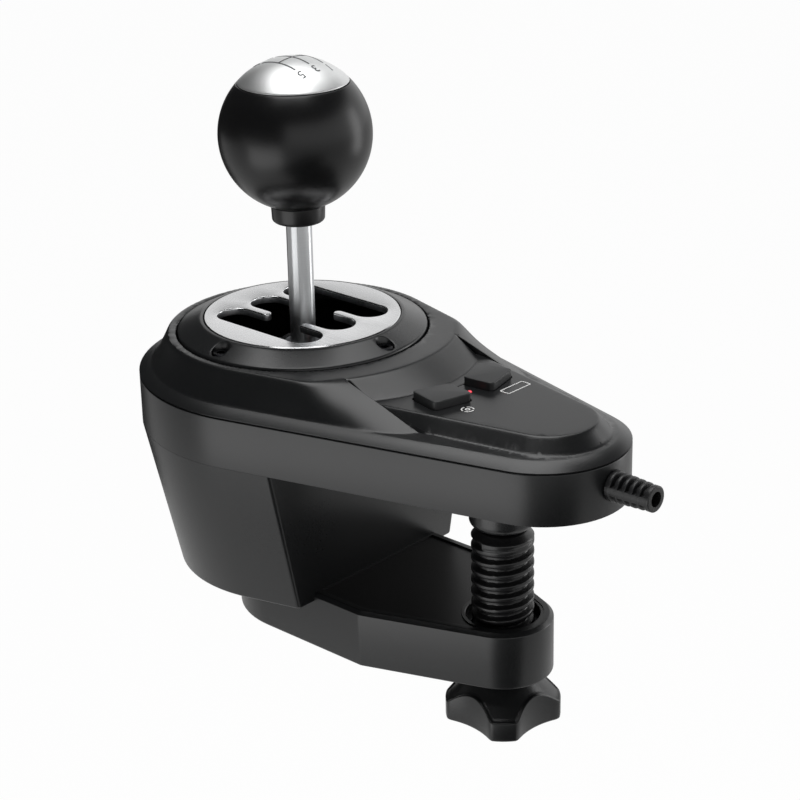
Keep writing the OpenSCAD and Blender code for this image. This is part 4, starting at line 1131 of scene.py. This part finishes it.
# The rounded edge beside the joint; side 1 lies above it, -1 below
def jointEdge(turn, side):
    return [ballPoint(turn + side * roundTurn * (1 - s), knobSet["edgeRound"] * (1 - math.sqrt(1 - s * s)))
            for s in (1, 0.9, 0.7, 0.4, 0)]


# The ball stops at the joint under the cap, and both edges are rounded into it
def makeBall():
    form, top = newForm(), jointTurn - gapTurn
    low = math.degrees(math.asin((ballLow.z - ballZ) / ballR))
    inside = ballPoint(top, knobSet["jointDeep"] + knobSet["capRoom"])
    profile = [(0, ballLow.z)] + [ballPoint(low + (top - roundTurn - low) * i / 72) for i in range(72)]
    profile += jointEdge(top, -1)[::-1] + [inside, (0, inside[1])]
    addRings(form, turned(profile, leverY, 128))
    makePiece("knobBall", form, "lever", ["ballLacquer"], ["knob_ball"])


def makeCap():
    form, low = newForm(), jointTurn + gapTurn
    inside, start = ballPoint(low, knobSet["jointDeep"]), low + roundTurn
    profile = [(0, inside[1]), inside] + jointEdge(low, 1)
    profile += [ballPoint(start + (90 - start) * i / 40) for i in range(1, 41)]
    addRings(form, turned(profile, leverY, 128))
    makePiece("knobCap", form, "lever", ["capNickel"], ["knob_cap"])


# The gear pattern on the cap: three columns, a cross line and six digits, as driven from the round end
patternSet = {
    "columns": 6.2,
    "reach": 7.4,
    "line": 0.5,
    "digit": 4.4,
    "digitAt": 10.0,
    "raise": 0.04,
    "thick": 0.05,
}


def capHeight(x, y):
    return ballZ + math.sqrt(ballR ** 2 - x ** 2 - (y - leverY) ** 2) + patternSet["raise"]


def addDigit(form, text, x, y):
    curve = bpy.data.curves.new("digit", "FONT")
    curve.body, curve.size, curve.extrude = text, patternSet["digit"], patternSet["thick"]
    curve.align_x, curve.align_y = "CENTER", "CENTER"
    writer = bpy.data.objects.new("digit", curve)
    mesh = bpy.data.meshes.new_from_object(writer)
    first = len(form["points"])
    for v in mesh.vertices:
        px, py = x + v.co.x, y + v.co.y
        form["points"].append((px, py, capHeight(px, py) + v.co.z))
    for face in mesh.polygons:
        form["faces"].append(tuple(first + i for i in face.vertices))
        form["kinds"].append(0)
    bpy.data.objects.remove(writer)
    bpy.data.meshes.remove(mesh)


def makePattern():
    form = newForm()
    reach, columns = patternSet["reach"], patternSet["columns"]
    for i, x in enumerate((-columns, 0, columns)):
        addRibbon(form, [(x, leverY + reach * (t / 8 - 1)) for t in range(17)], patternSet["line"], capHeight)
        addDigit(form, str(2 * i + 1), x, leverY + patternSet["digitAt"])
        addDigit(form, str(2 * i + 2), x, leverY - patternSet["digitAt"])
    addRibbon(form, [(columns * (t / 10 - 1), leverY) for t in range(21)], patternSet["line"], capHeight)
    makePiece("gearPattern", form, "lever", ["greyInk"])


makeShaft()
makeCollar()
makeBall()
makeCap()
makePattern()
print("lever made")


# Push buttons, the lamp between them and the prints on the panel
panelSet = {
    "lampRound": 0.4,
    "lampGap": 0.15,
    "lampFlange": 0.9,
    "lampRise": 0.3,
    "iconPlace": (11.3, -4.3),
    "iconR": 1.9,
    "framePlace": (-11.8, -4.5),
    "frameSize": (10.6, 3.6),
    "line": 0.42,
    "raise": 0.04,
    # Place, length and width of the dark strip of painted shade that stands in for a slit
    "shadeStripAhead": 67.2,
    "shadeStripLong": 12.8,
    "shadeStripWidth": 0.7,
}


def makeButtons():
    low = nodeBox("button_right")[0].z
    flange, step = buttonSet["flange"], low + buttonSet["flangeH"]
    profile = roundPath([(-flange, low), (-flange, step), (0, step), (0, buttonHigh), (2, buttonHigh)],
                        [0, 0, 0, buttonSet["topRound"], 0], 6)
    for side, name, body in ((1, "buttonRight", "button_right"), (-1, "buttonLeft", "button_left")):
        form, loop = newForm(), buttonLoop(side, 0)
        addPlug(form, [raised(insetLoop(loop, inset) if inset > 0 else buttonLoop(side, -inset), z)
                       for inset, z in profile[:-1]])
        makePiece(name, form, body, ["buttonAbs"], [body], 40)


def makeLamp():
    low, high = nodeBox("signal_lamp")
    lensR, step = coverSet["lampHole"] - panelSet["lampGap"], low.z + panelSet["lampFlange"]
    top = high.z + panelSet["lampRise"]
    profile = roundPath([(0, low.z), (high.x, low.z), (high.x, step), (lensR, step), (lensR, top), (0, top)],
                        [0, 0, 0, 0, panelSet["lampRound"], 0], 6)
    form = newForm()
    addRings(form, turned(profile, (low.y + high.y) / 2, 32))
    makePiece("signalLamp", form, "housing", ["lampLens"], ["signal_lamp"])


def onPanel(x, y):
    return panelZ + panelSet["raise"]


# A ring with a dot beside one button, an empty frame beside the other, and between them a dark strip of
# painted shade laid on the panel in place of a slit
def makePrints():
    form, line = newForm(), panelSet["line"]
    centre, iconR = panelSet["iconPlace"], panelSet["iconR"]
    for start in (0, 120, 240):
        addRibbon(form, arcPoints(centre, iconR, start + 12, start + 108, 14), line, onPanel)
    addRibbon(form, circlePoints(centre, iconR * 0.35, 16), line, onPanel, True)
    x, y = panelSet["framePlace"]
    w, h = panelSet["frameSize"][0] / 2, panelSet["frameSize"][1] / 2
    corners = [(x + w, y - h), (x + w, y + h), (x - w, y + h), (x - w, y - h)]
    addRibbon(form, roundPath(corners, 0.5, 4, True), line, onPanel, True)
    makePiece("panelPrints", form, "housing", ["whiteInk"])

    # Painted shade: a flat near-black strip on the panel stands in for the shadow inside a slit, which is not
    # cut
    form, half, shadeStripY = newForm(), panelSet["shadeStripLong"] / 2, leverY + panelSet["shadeStripAhead"]
    addRibbon(form, [(-half, shadeStripY), (half, shadeStripY)], panelSet["shadeStripWidth"], onPanel)
    makePiece("panelSlit", form, "housing", ["deckAbs"])


makeButtons()
makeLamp()
makePrints()
print("panel made")


# The cable outlet: a tapered sleeve with open ribs above and below and a solid web at each side
reliefLow, reliefHigh = nodeBox("strain_relief")
reliefSet = {
    "startR": 5.0,
    "endR": 4.1,
    "boreR": 2.5,
    "coreR": 2.95,
    "rootStep": 1.2,
    "webHalf": 1.3,
    "webSink": 0.3,
    "ribInner": 0.58,  # shares of a rib's radius and length
    "ribRound": 0.14,
    "gap": 1.3,
    "gaps": 5,
}


# Rings about the Y axis
def lyingRings(profile, centreZ, startY, count=48):
    turns = [math.tau * i / count for i in range(count)]
    return [[(r * math.cos(t), startY + y, centreZ + r * math.sin(t)) for t in turns] for r, y in profile]


def makeRelief():
    reliefZ = (reliefLow.z + reliefHigh.z) / 2
    length, rootY = reliefHigh.y - noseTip, reliefLow.y - noseTip
    pitch, half = length / (reliefSet["gaps"] + 1), reliefSet["webHalf"]
    bore, core, rootR = reliefSet["boreR"], reliefSet["coreR"], reliefSet["coreR"] + reliefSet["rootStep"]

    def outerR(y):
        return reliefSet["startR"] + (reliefSet["endR"] - reliefSet["startR"]) * max(0, y) / length

    def web(side, y):
        reach, foot = math.sqrt(outerR(y) ** 2 - half ** 2), core - reliefSet["webSink"]
        levels = (-1, -0.6, -0.2, 0.2, 0.6, 1)
        bow = [(reach + (outerR(y) - reach) * math.cos(math.pi / 2 * z), z) for z in levels]
        return [(side * x, noseTip + y, reliefZ + half * z) for x, z in bow + [(foot, 1), (foot, -1)]]

    form = newForm()
    coreEnd = length - 0.2
    profile = [(bore, rootY), (rootR, rootY), (rootR, 0.1), (core, 0.1), (core, coreEnd), (bore, coreEnd)]
    addRings(form, lyingRings(profile, reliefZ, noseTip), True)
    for side in (1, -1):
        addPlug(form, [web(side, 0.2 + (length - 0.6) * i / 8) for i in range(9)])
    makePiece("reliefCore", form, "housing", ["reliefPvc"], ["strain_relief"])

    # One rib of unit radius and unit length along Y, set on six points
    rib = newForm()
    inner, soft = reliefSet["ribInner"], reliefSet["ribRound"]
    profile = roundPath([(inner, 0), (1, 0), (1, 1), (inner, 1)], [0, soft, soft, 0], 4)
    addRings(rib, lyingRings(profile, 0, 0), True)
    points, sizes = [], []
    for i in range(reliefSet["gaps"] + 1):
        start = 0 if i == 0 else i * pitch + reliefSet["gap"] / 2
        end = length if i == reliefSet["gaps"] else (i + 1) * pitch - reliefSet["gap"] / 2
        points.append((0, noseTip + start, reliefZ))
        sizes.append((outerR((start + end) / 2), end - start, outerR((start + end) / 2)))
    repeatPiece("reliefRibs", points, sizes, rib, "reliefPvc", 0, "housing", [])


makeRelief()
print("cable outlet made")


# The clamp: screw with a rounded thread, swivel pad and star knob
screwLow = nodeBox("clamp_screw")[0]
swivelLow, swivelHigh = nodeBox("swivel_pad")
starLow, starHigh = nodeBox("star_knob")
clampSet = {
    "pitch": 4.0,
    "threadLow": -68.9,
    "threadHigh": -16.9,
    "threadStep": 0.25,
    "crestR": 10.1,
    "rootR": 8.3,
    "crestSwell": 0.25,
    "flankUp": (0.24, 0.5),  # shares of a turn
    "flankDown": (0.8, 1.0),
    "runOut": 5.0,
    "topTaper": 2.2,
    "neckR": 3.6,
    "ballR": 4.9,
    "ballZ": -12.5,
    "ballGap": 0.25,
    "shankR": 7.0,
    "shankRound": 0.6,
    "padFootR": 8.2,
    "padGrip": 0.6,
    "padRound": 0.4,
    "starR": 18.8,
    "starTopR": 10.0,
    "lobeH": 7.1,
    "lobes": 4,
    "fluteTurn": 86.0,
    "fluteR": 25.0,
    "fluteReach": 39.2,
    "cornerRound": 1.4,
    "edgeRound": 1.0,
    "hubShare": 0.4,
}


def smoothStep(start, end, value):
    t = unitShare((value - start) / (end - start))
    return t * t * (3 - 2 * t)


# The thread's radius: a root, a rounded flank, a full crest and a rounded flank in each turn
def threadR(turn, z):
    pitch, low, high, runOut = [clampSet[key] for key in ("pitch", "threadLow", "threadHigh", "runOut")]
    crest, root, swell = clampSet["crestR"], clampSet["rootR"], clampSet["crestSwell"]
    share = ((z - low) / pitch - turn) % 1
    up = smoothStep(*clampSet["flankUp"], share) - smoothStep(*clampSet["flankDown"], share)
    bulge = swell * (1 - ((share - 0.65) / 0.35) ** 2) if 0.3 < share < 1 else 0
    radius = root + (crest - root) * up - swell * up + max(0, bulge) * up
    # near the top the groove fills up on the way round and ends in a plain collar
    fade = smoothStep(high - runOut, high - runOut * 0.45, z - pitch * (turn - 0.35))
    radius += (crest - radius) * fade
    return min(radius, crest - max(0, z - high + clampSet["topTaper"]))


# Points of an arc about a place on the clamp's axis, as radius and height
def axisArc(radius, centreZ, turns):
    return [(r, centreZ + z) for r, z in [polar(radius, t) for t in turns]]


def makeScrew():
    low, high, neck, shankR = [clampSet[key] for key in ("threadLow", "threadHigh", "neckR", "shankR")]
    form, count = newForm(), 72
    shank = roundPath([(0, screwLow.z), (shankR, screwLow.z), (shankR, low)], [0, clampSet["shankRound"], 0])
    rings = turned(shank, 0, count)
    steps = int((high - low) / clampSet["threadStep"])
    for j in range(steps + 1):
        z, ring = low + (high - low) * j / steps, []
        for i in range(count):
            radius, turn = threadR(i / count, z), math.tau * i / count
            ring.append((radius * math.cos(turn), radius * math.sin(turn), z))
        rings.append(ring)
    start = math.degrees(-math.acos(neck / clampSet["ballR"]))
    ball = axisArc(clampSet["ballR"], clampSet["ballZ"], [start + (90 - start) * i / 20 for i in range(21)])
    addRings(form, rings + turned([(neck, high)] + ball, 0, count))
    makePiece("clampScrew", form, "clamp_screw", ["screwAcetal"], ["clamp_screw"], 50)


# The swivel pad: a bowl with a hollow for the screw's ball
def makeSwivel():
    form, wide, footR = newForm(), swivelHigh.x, clampSet["padFootR"]
    bowl, mouthR = wide - footR, clampSet["ballR"] - clampSet["padGrip"]
    profile = [(mouthR, swivelLow.z), (footR * 0.92, swivelLow.z)]
    profile += [(footR + r, z) for r, z in axisArc(bowl, swivelLow.z + bowl, range(-80, 1, 10))]
    profile += roundPath([(wide, swivelLow.z + bowl + 0.1), (wide, swivelHigh.z), (0, swivelHigh.z)],
                         [0, clampSet["padRound"], 0])
    hollow = axisArc(clampSet["ballR"] + clampSet["ballGap"], clampSet["ballZ"], range(90, -41, -10))
    addRings(form, turned(profile, 0, 72))
    addRings(form, turned(hollow + [(mouthR, swivelLow.z)], 0, 72))
    makePiece("swivelPad", form, "clamp_pad", ["ringAbs"], ["swivel_pad"])


# The star knob's outline: lobes on a circle with flutes between them
def starLoop():
    fluteR, reach, step = clampSet["fluteR"], clampSet["fluteReach"], 360 / clampSet["lobes"]
    outline = []
    for i in range(360):
        away = math.radians((i - clampSet["fluteTurn"] + step / 2) % step - step / 2)
        across = reach * math.sin(abs(away))
        near = reach * math.cos(away) - math.sqrt(fluteR ** 2 - across ** 2) if across < fluteR else 99
        radius = softMin(clampSet["starR"], near, clampSet["cornerRound"])
        outline.append(polar(radius, i))
    return outline


# The knob's top falls as a cone from the hub to the lobes' outer faces
def coneZ(r):
    starR, sideTop = clampSet["starR"], starLow.z + clampSet["lobeH"]
    slope = (starHigh.z - sideTop) / (starR - clampSet["starTopR"])
    return softMin(sideTop + (starR - r) * slope, starHigh.z, 1.0)


def makeStar():
    form, outline = newForm(), starLoop()
    soft, hub = clampSet["edgeRound"], clampSet["hubShare"]
    rings = [raised([(x * hub, y * hub) for x, y in outline], starLow.z)]
    for t in range(0, 91, 15):
        turn = math.radians(t)
        loop = insetLoop(outline, soft * (1 - math.sin(turn)))
        rings.append(raised(loop, starLow.z + soft * (1 - math.cos(turn))))
    for t in range(0, 91, 15):
        turn = math.radians(t)
        shrink = soft * (1 - math.cos(turn))
        rings.append([(x, y, coneZ(math.hypot(x, y) + shrink) - soft * 0.6 * (1 - math.sin(turn)))
                      for x, y in insetLoop(outline, shrink)])
    for share in (0.95, 0.9, 0.8, 0.7, 0.6, 0.5, hub):
        lift = soft * min(1, (share - hub) * 5)
        rings.append([(x * share, y * share, coneZ(math.hypot(x, y) * share + lift))
                      for x, y in insetLoop(outline, soft)])
    addPlug(form, rings)
    makePiece("starKnob", form, "clamp_screw", ["bodyAbs"], ["star_knob"], 50)


makeScrew()
makeSwivel()
makeStar()
print("clamp made")


# The spring under the lever's foot, with closed end turns
springSet = {
    "wireR": 0.5,
    "turns": 6.0,
    "endPitch": 1.06,
    "sides": 10,
    "steps": 28,
}


def makeSpring():
    low, high = nodeBox("reverse_spring")
    wireR, turns = springSet["wireR"], springSet["turns"]
    coilR, height = (high.x - low.x) / 2 - wireR, high.z - low.z - 2 * wireR
    flat = springSet["endPitch"] / height
    rings, count = [], int(turns * springSet["steps"])
    for i in range(count + 1):
        turn = turns * i / count
        rise = flat * min(turn, 1) + flat * max(0, turn - turns + 1)
        rise += (1 - 2 * flat) * unitShare((turn - 1) / (turns - 2))
        angle, ring = math.tau * turn, []
        for k in range(springSet["sides"]):
            around = math.tau * k / springSet["sides"]
            reach = coilR + wireR * math.cos(around)
            ring.append((reach * math.cos(angle), leverY + reach * math.sin(angle),
                         low.z + wireR + height * rise + wireR * math.sin(around)))
        rings.append(ring)
    form = newForm()
    addPlug(form, rings)
    spring = makePiece("reverseSpring", form, "yoke", ["groundSteel"], ["reverse_spring"])
    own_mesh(spring)


makeSpring()
print("spring made")


# Every other solid keeps its form and takes the surface of its real material
solidLooks = {
    "deckAbs": ["foot_deck", "button_switches", "dust_dome"],
    "bodyAbs": ["foot_base"],
    "rubber": ["jaw_pad", "pad_facing"],
    "blackSteel": ["cover_screws", "spine_screws", "foot_screws", "base_screws", "frame_screws",
                   "board_screws", "sensor_screws", "clamp_nut"],
    "castZinc": ["pivot_frame", "cradle", "yoke"],
    "bronze": ["pivot_bushes"],
    "board": ["panel_board", "sensor_board"],
    "groundSteel": ["cradle_pins", "centring_springs", "yoke_pins", "sensor_magnet", "stop_pin"],
    "brass": ["knob_insert"],
}


def paintSolids():
    lookOf = {node: look for look, nodes in solidLooks.items() for node in nodes}
    for thing in bpy.data.objects:
        for node, look in lookOf.items():
            if thing.type == "MESH" and (thing.name == node or thing.name.startswith(node + ".")):
                thing.data.materials.clear()
                thing.data.materials.append(materials[look])


paintSolids()
print("solids painted")


# Studio light: soft panels with place, aim and size in millimetres, power in watts and turn in degrees
lightSet = {
    "lowKey": {"place": (820, -100, -240), "aim": (0, -60, 0), "size": (800, 420), "power": 1.9},
    "topSoft": {"place": (-27, -166, 900), "aim": (-27, -166, 0), "size": (836, 634), "power": 6.0,
                "turn": 43},
    "topSide": {"place": (-520, -128, 900), "aim": (-520, -128, 0), "size": (396, 387), "power": 1.25},
    "sideWall": {"place": (-840, -280, 620), "aim": (30, -40, 20), "size": (270, 270), "power": 0.28},
    "rightStrip": {"place": (-800, 420, 60), "aim": (0, -60, 60), "size": (300, 700), "power": 1.6},
}
stageSet = {
    "floorZ": -470.0,
    "floorSize": 14000.0,
    "floorColour": "#f7f7f6",
    "floorRough": 0.9,
    "floorShown": 0.97,  # white to the camera; the rest is lit paper, which takes the shadow
    "floorMirrored": 0.35,
    "cardColour": "#0a0a0a",
    "ambient": 0.25,
    "wallTop": 0.38,  # height of a ray's direction, from level at 0 to upright at 1
    "wallEnd": 0.50,
    "ceiling": 0.02,
}
# Corners of the dark cards in millimetres
cardSet = {
    "cardFrontRight": [(60, 160, -450), (900, 160, -450), (900, 1500, -450), (60, 1500, -450)],
    "cardBackLeft": [(-470, -900, -460), (-40, -900, -460), (-40, -900, -60), (1000, -900, -60),
                     (1000, -900, 1300), (-470, -900, 1300)],
    "cardLeft": [(1000, -900, 60), (1000, 500, 60), (1000, 500, 1300), (1000, -900, 1300)],
}


def makeLights():
    for name, light in lightSet.items():
        data = bpy.data.lights.new(name, "AREA")
        data.shape = "RECTANGLE"
        data.size, data.size_y = light["size"][0] * mm, light["size"][1] * mm
        data.energy = light["power"]
        lamp = bpy.data.objects.new(name, data)
        bpy.context.collection.objects.link(lamp)
        place = Vector(light["place"]) * mm
        aimed = (Vector(light["aim"]) * mm - place).to_track_quat("-Z", "Y")
        lamp.location = place
        lamp.rotation_euler = (Quaternion((0, 0, 1), math.radians(light.get("turn", 0))) @ aimed).to_euler()
        lamp.visible_camera = False


# One flat face of the studio
def makeSheet(name, corners, material):
    data = bpy.data.meshes.new(name)
    data.from_pydata([[c * mm for c in p] for p in corners], [], [tuple(range(len(corners)))])
    data.materials.append(material)
    sheet = bpy.data.objects.new(name, data)
    bpy.context.collection.objects.link(sheet)
    return sheet


# The floor shows as white to the camera and in reflections, and still takes the shadow
def makeFloor():
    paper = bpy.data.materials.new("matt paper backdrop")
    paper.use_nodes = True
    tree = paper.node_tree
    shader = tree.nodes["Principled BSDF"]
    shader.inputs["Base Color"].default_value = hexColour(stageSet["floorColour"])
    shader.inputs["Roughness"].default_value = stageSet["floorRough"]
    path = addNode(tree, "ShaderNodeLightPath")
    mirrored = addNode(tree, "ShaderNodeMath", {"operation": "MULTIPLY", 1: stageSet["floorMirrored"]},
                       {0: path.outputs["Is Glossy Ray"]})
    seen = addNode(tree, "ShaderNodeMath", {"operation": "MAXIMUM"},
                   {0: path.outputs["Is Camera Ray"], 1: mirrored.outputs["Value"]})
    seenAll = addNode(tree, "ShaderNodeMath", {"operation": "MAXIMUM"},
                      {0: seen.outputs["Value"], 1: path.outputs["Is Transmission Ray"]})
    share = addNode(tree, "ShaderNodeMath", {"operation": "MULTIPLY", 1: stageSet["floorShown"]},
                    {0: seenAll.outputs["Value"]})
    glow = addNode(tree, "ShaderNodeEmission", {"Color": (1, 1, 1, 1), "Strength": 1.0})
    mixed = addNode(tree, "ShaderNodeMixShader", None,
                    {0: share.outputs["Value"], 1: shader.outputs["BSDF"], 2: glow.outputs["Emission"]})
    tree.links.new(mixed.outputs["Shader"], tree.nodes["Material Output"].inputs["Surface"])
    half, z = stageSet["floorSize"] / 2, stageSet["floorZ"]
    makeSheet("studioFloor", [(-half, -half, z), (half, -half, z), (half, half, z), (-half, half, z)], paper)


# Dark cards around the set; only reflections show them
def makeCards():
    felt = bpy.data.materials.new("black felt card")
    felt.use_nodes = True
    shader = felt.node_tree.nodes["Principled BSDF"]
    shader.inputs["Base Color"].default_value = hexColour(stageSet["cardColour"])
    shader.inputs["Roughness"].default_value = 1.0
    for name, corners in cardSet.items():
        card = makeSheet(name, corners, felt)
        card.visible_camera = card.visible_diffuse = card.visible_shadow = card.visible_transmission = False


# Reflections see a studio that is white up to a little above the object and dark towards the ceiling;
# the camera sees white, and the rest of the light is an even ambient
def makeWorld():
    world = bpy.data.worlds.new("studio")
    bpy.context.scene.world = world
    world.use_nodes = True
    tree = world.node_tree
    path = addNode(tree, "ShaderNodeLightPath")
    mirrored = addNode(tree, "ShaderNodeMath", {"operation": "MAXIMUM"},
                       {0: path.outputs["Is Glossy Ray"], 1: path.outputs["Is Transmission Ray"]})
    place = addNode(tree, "ShaderNodeTexCoord")
    height = addNode(tree, "ShaderNodeSeparateXYZ", None, {"Vector": place.outputs["Generated"]})
    wall = addNode(tree, "ShaderNodeMapRange",
                   {"interpolation_type": "SMOOTHSTEP", "From Min": stageSet["wallEnd"],
                    "From Max": stageSet["wallTop"]}, {"Value": height.outputs["Z"]})
    shown = addNode(tree, "ShaderNodeMapRange", {"To Min": stageSet["ceiling"], "To Max": 1.0},
                    {"Value": wall.outputs["Result"]})
    lit = addNode(tree, "ShaderNodeMix", {"data_type": "FLOAT", 2: stageSet["ambient"]},
                  {0: mirrored.outputs["Value"], 3: shown.outputs["Result"]})
    strength = addNode(tree, "ShaderNodeMix", {"data_type": "FLOAT", 3: 1.0},
                       {0: path.outputs["Is Camera Ray"], 2: lit.outputs[0]})
    background = tree.nodes["Background"]
    background.inputs["Color"].default_value = (1, 1, 1, 1)
    tree.links.new(strength.outputs[0], background.inputs["Strength"])
    bpy.context.scene.view_settings.view_transform = "Standard"


makeLights()
makeFloor()
makeCards()
makeWorld()
print("light and floor made")
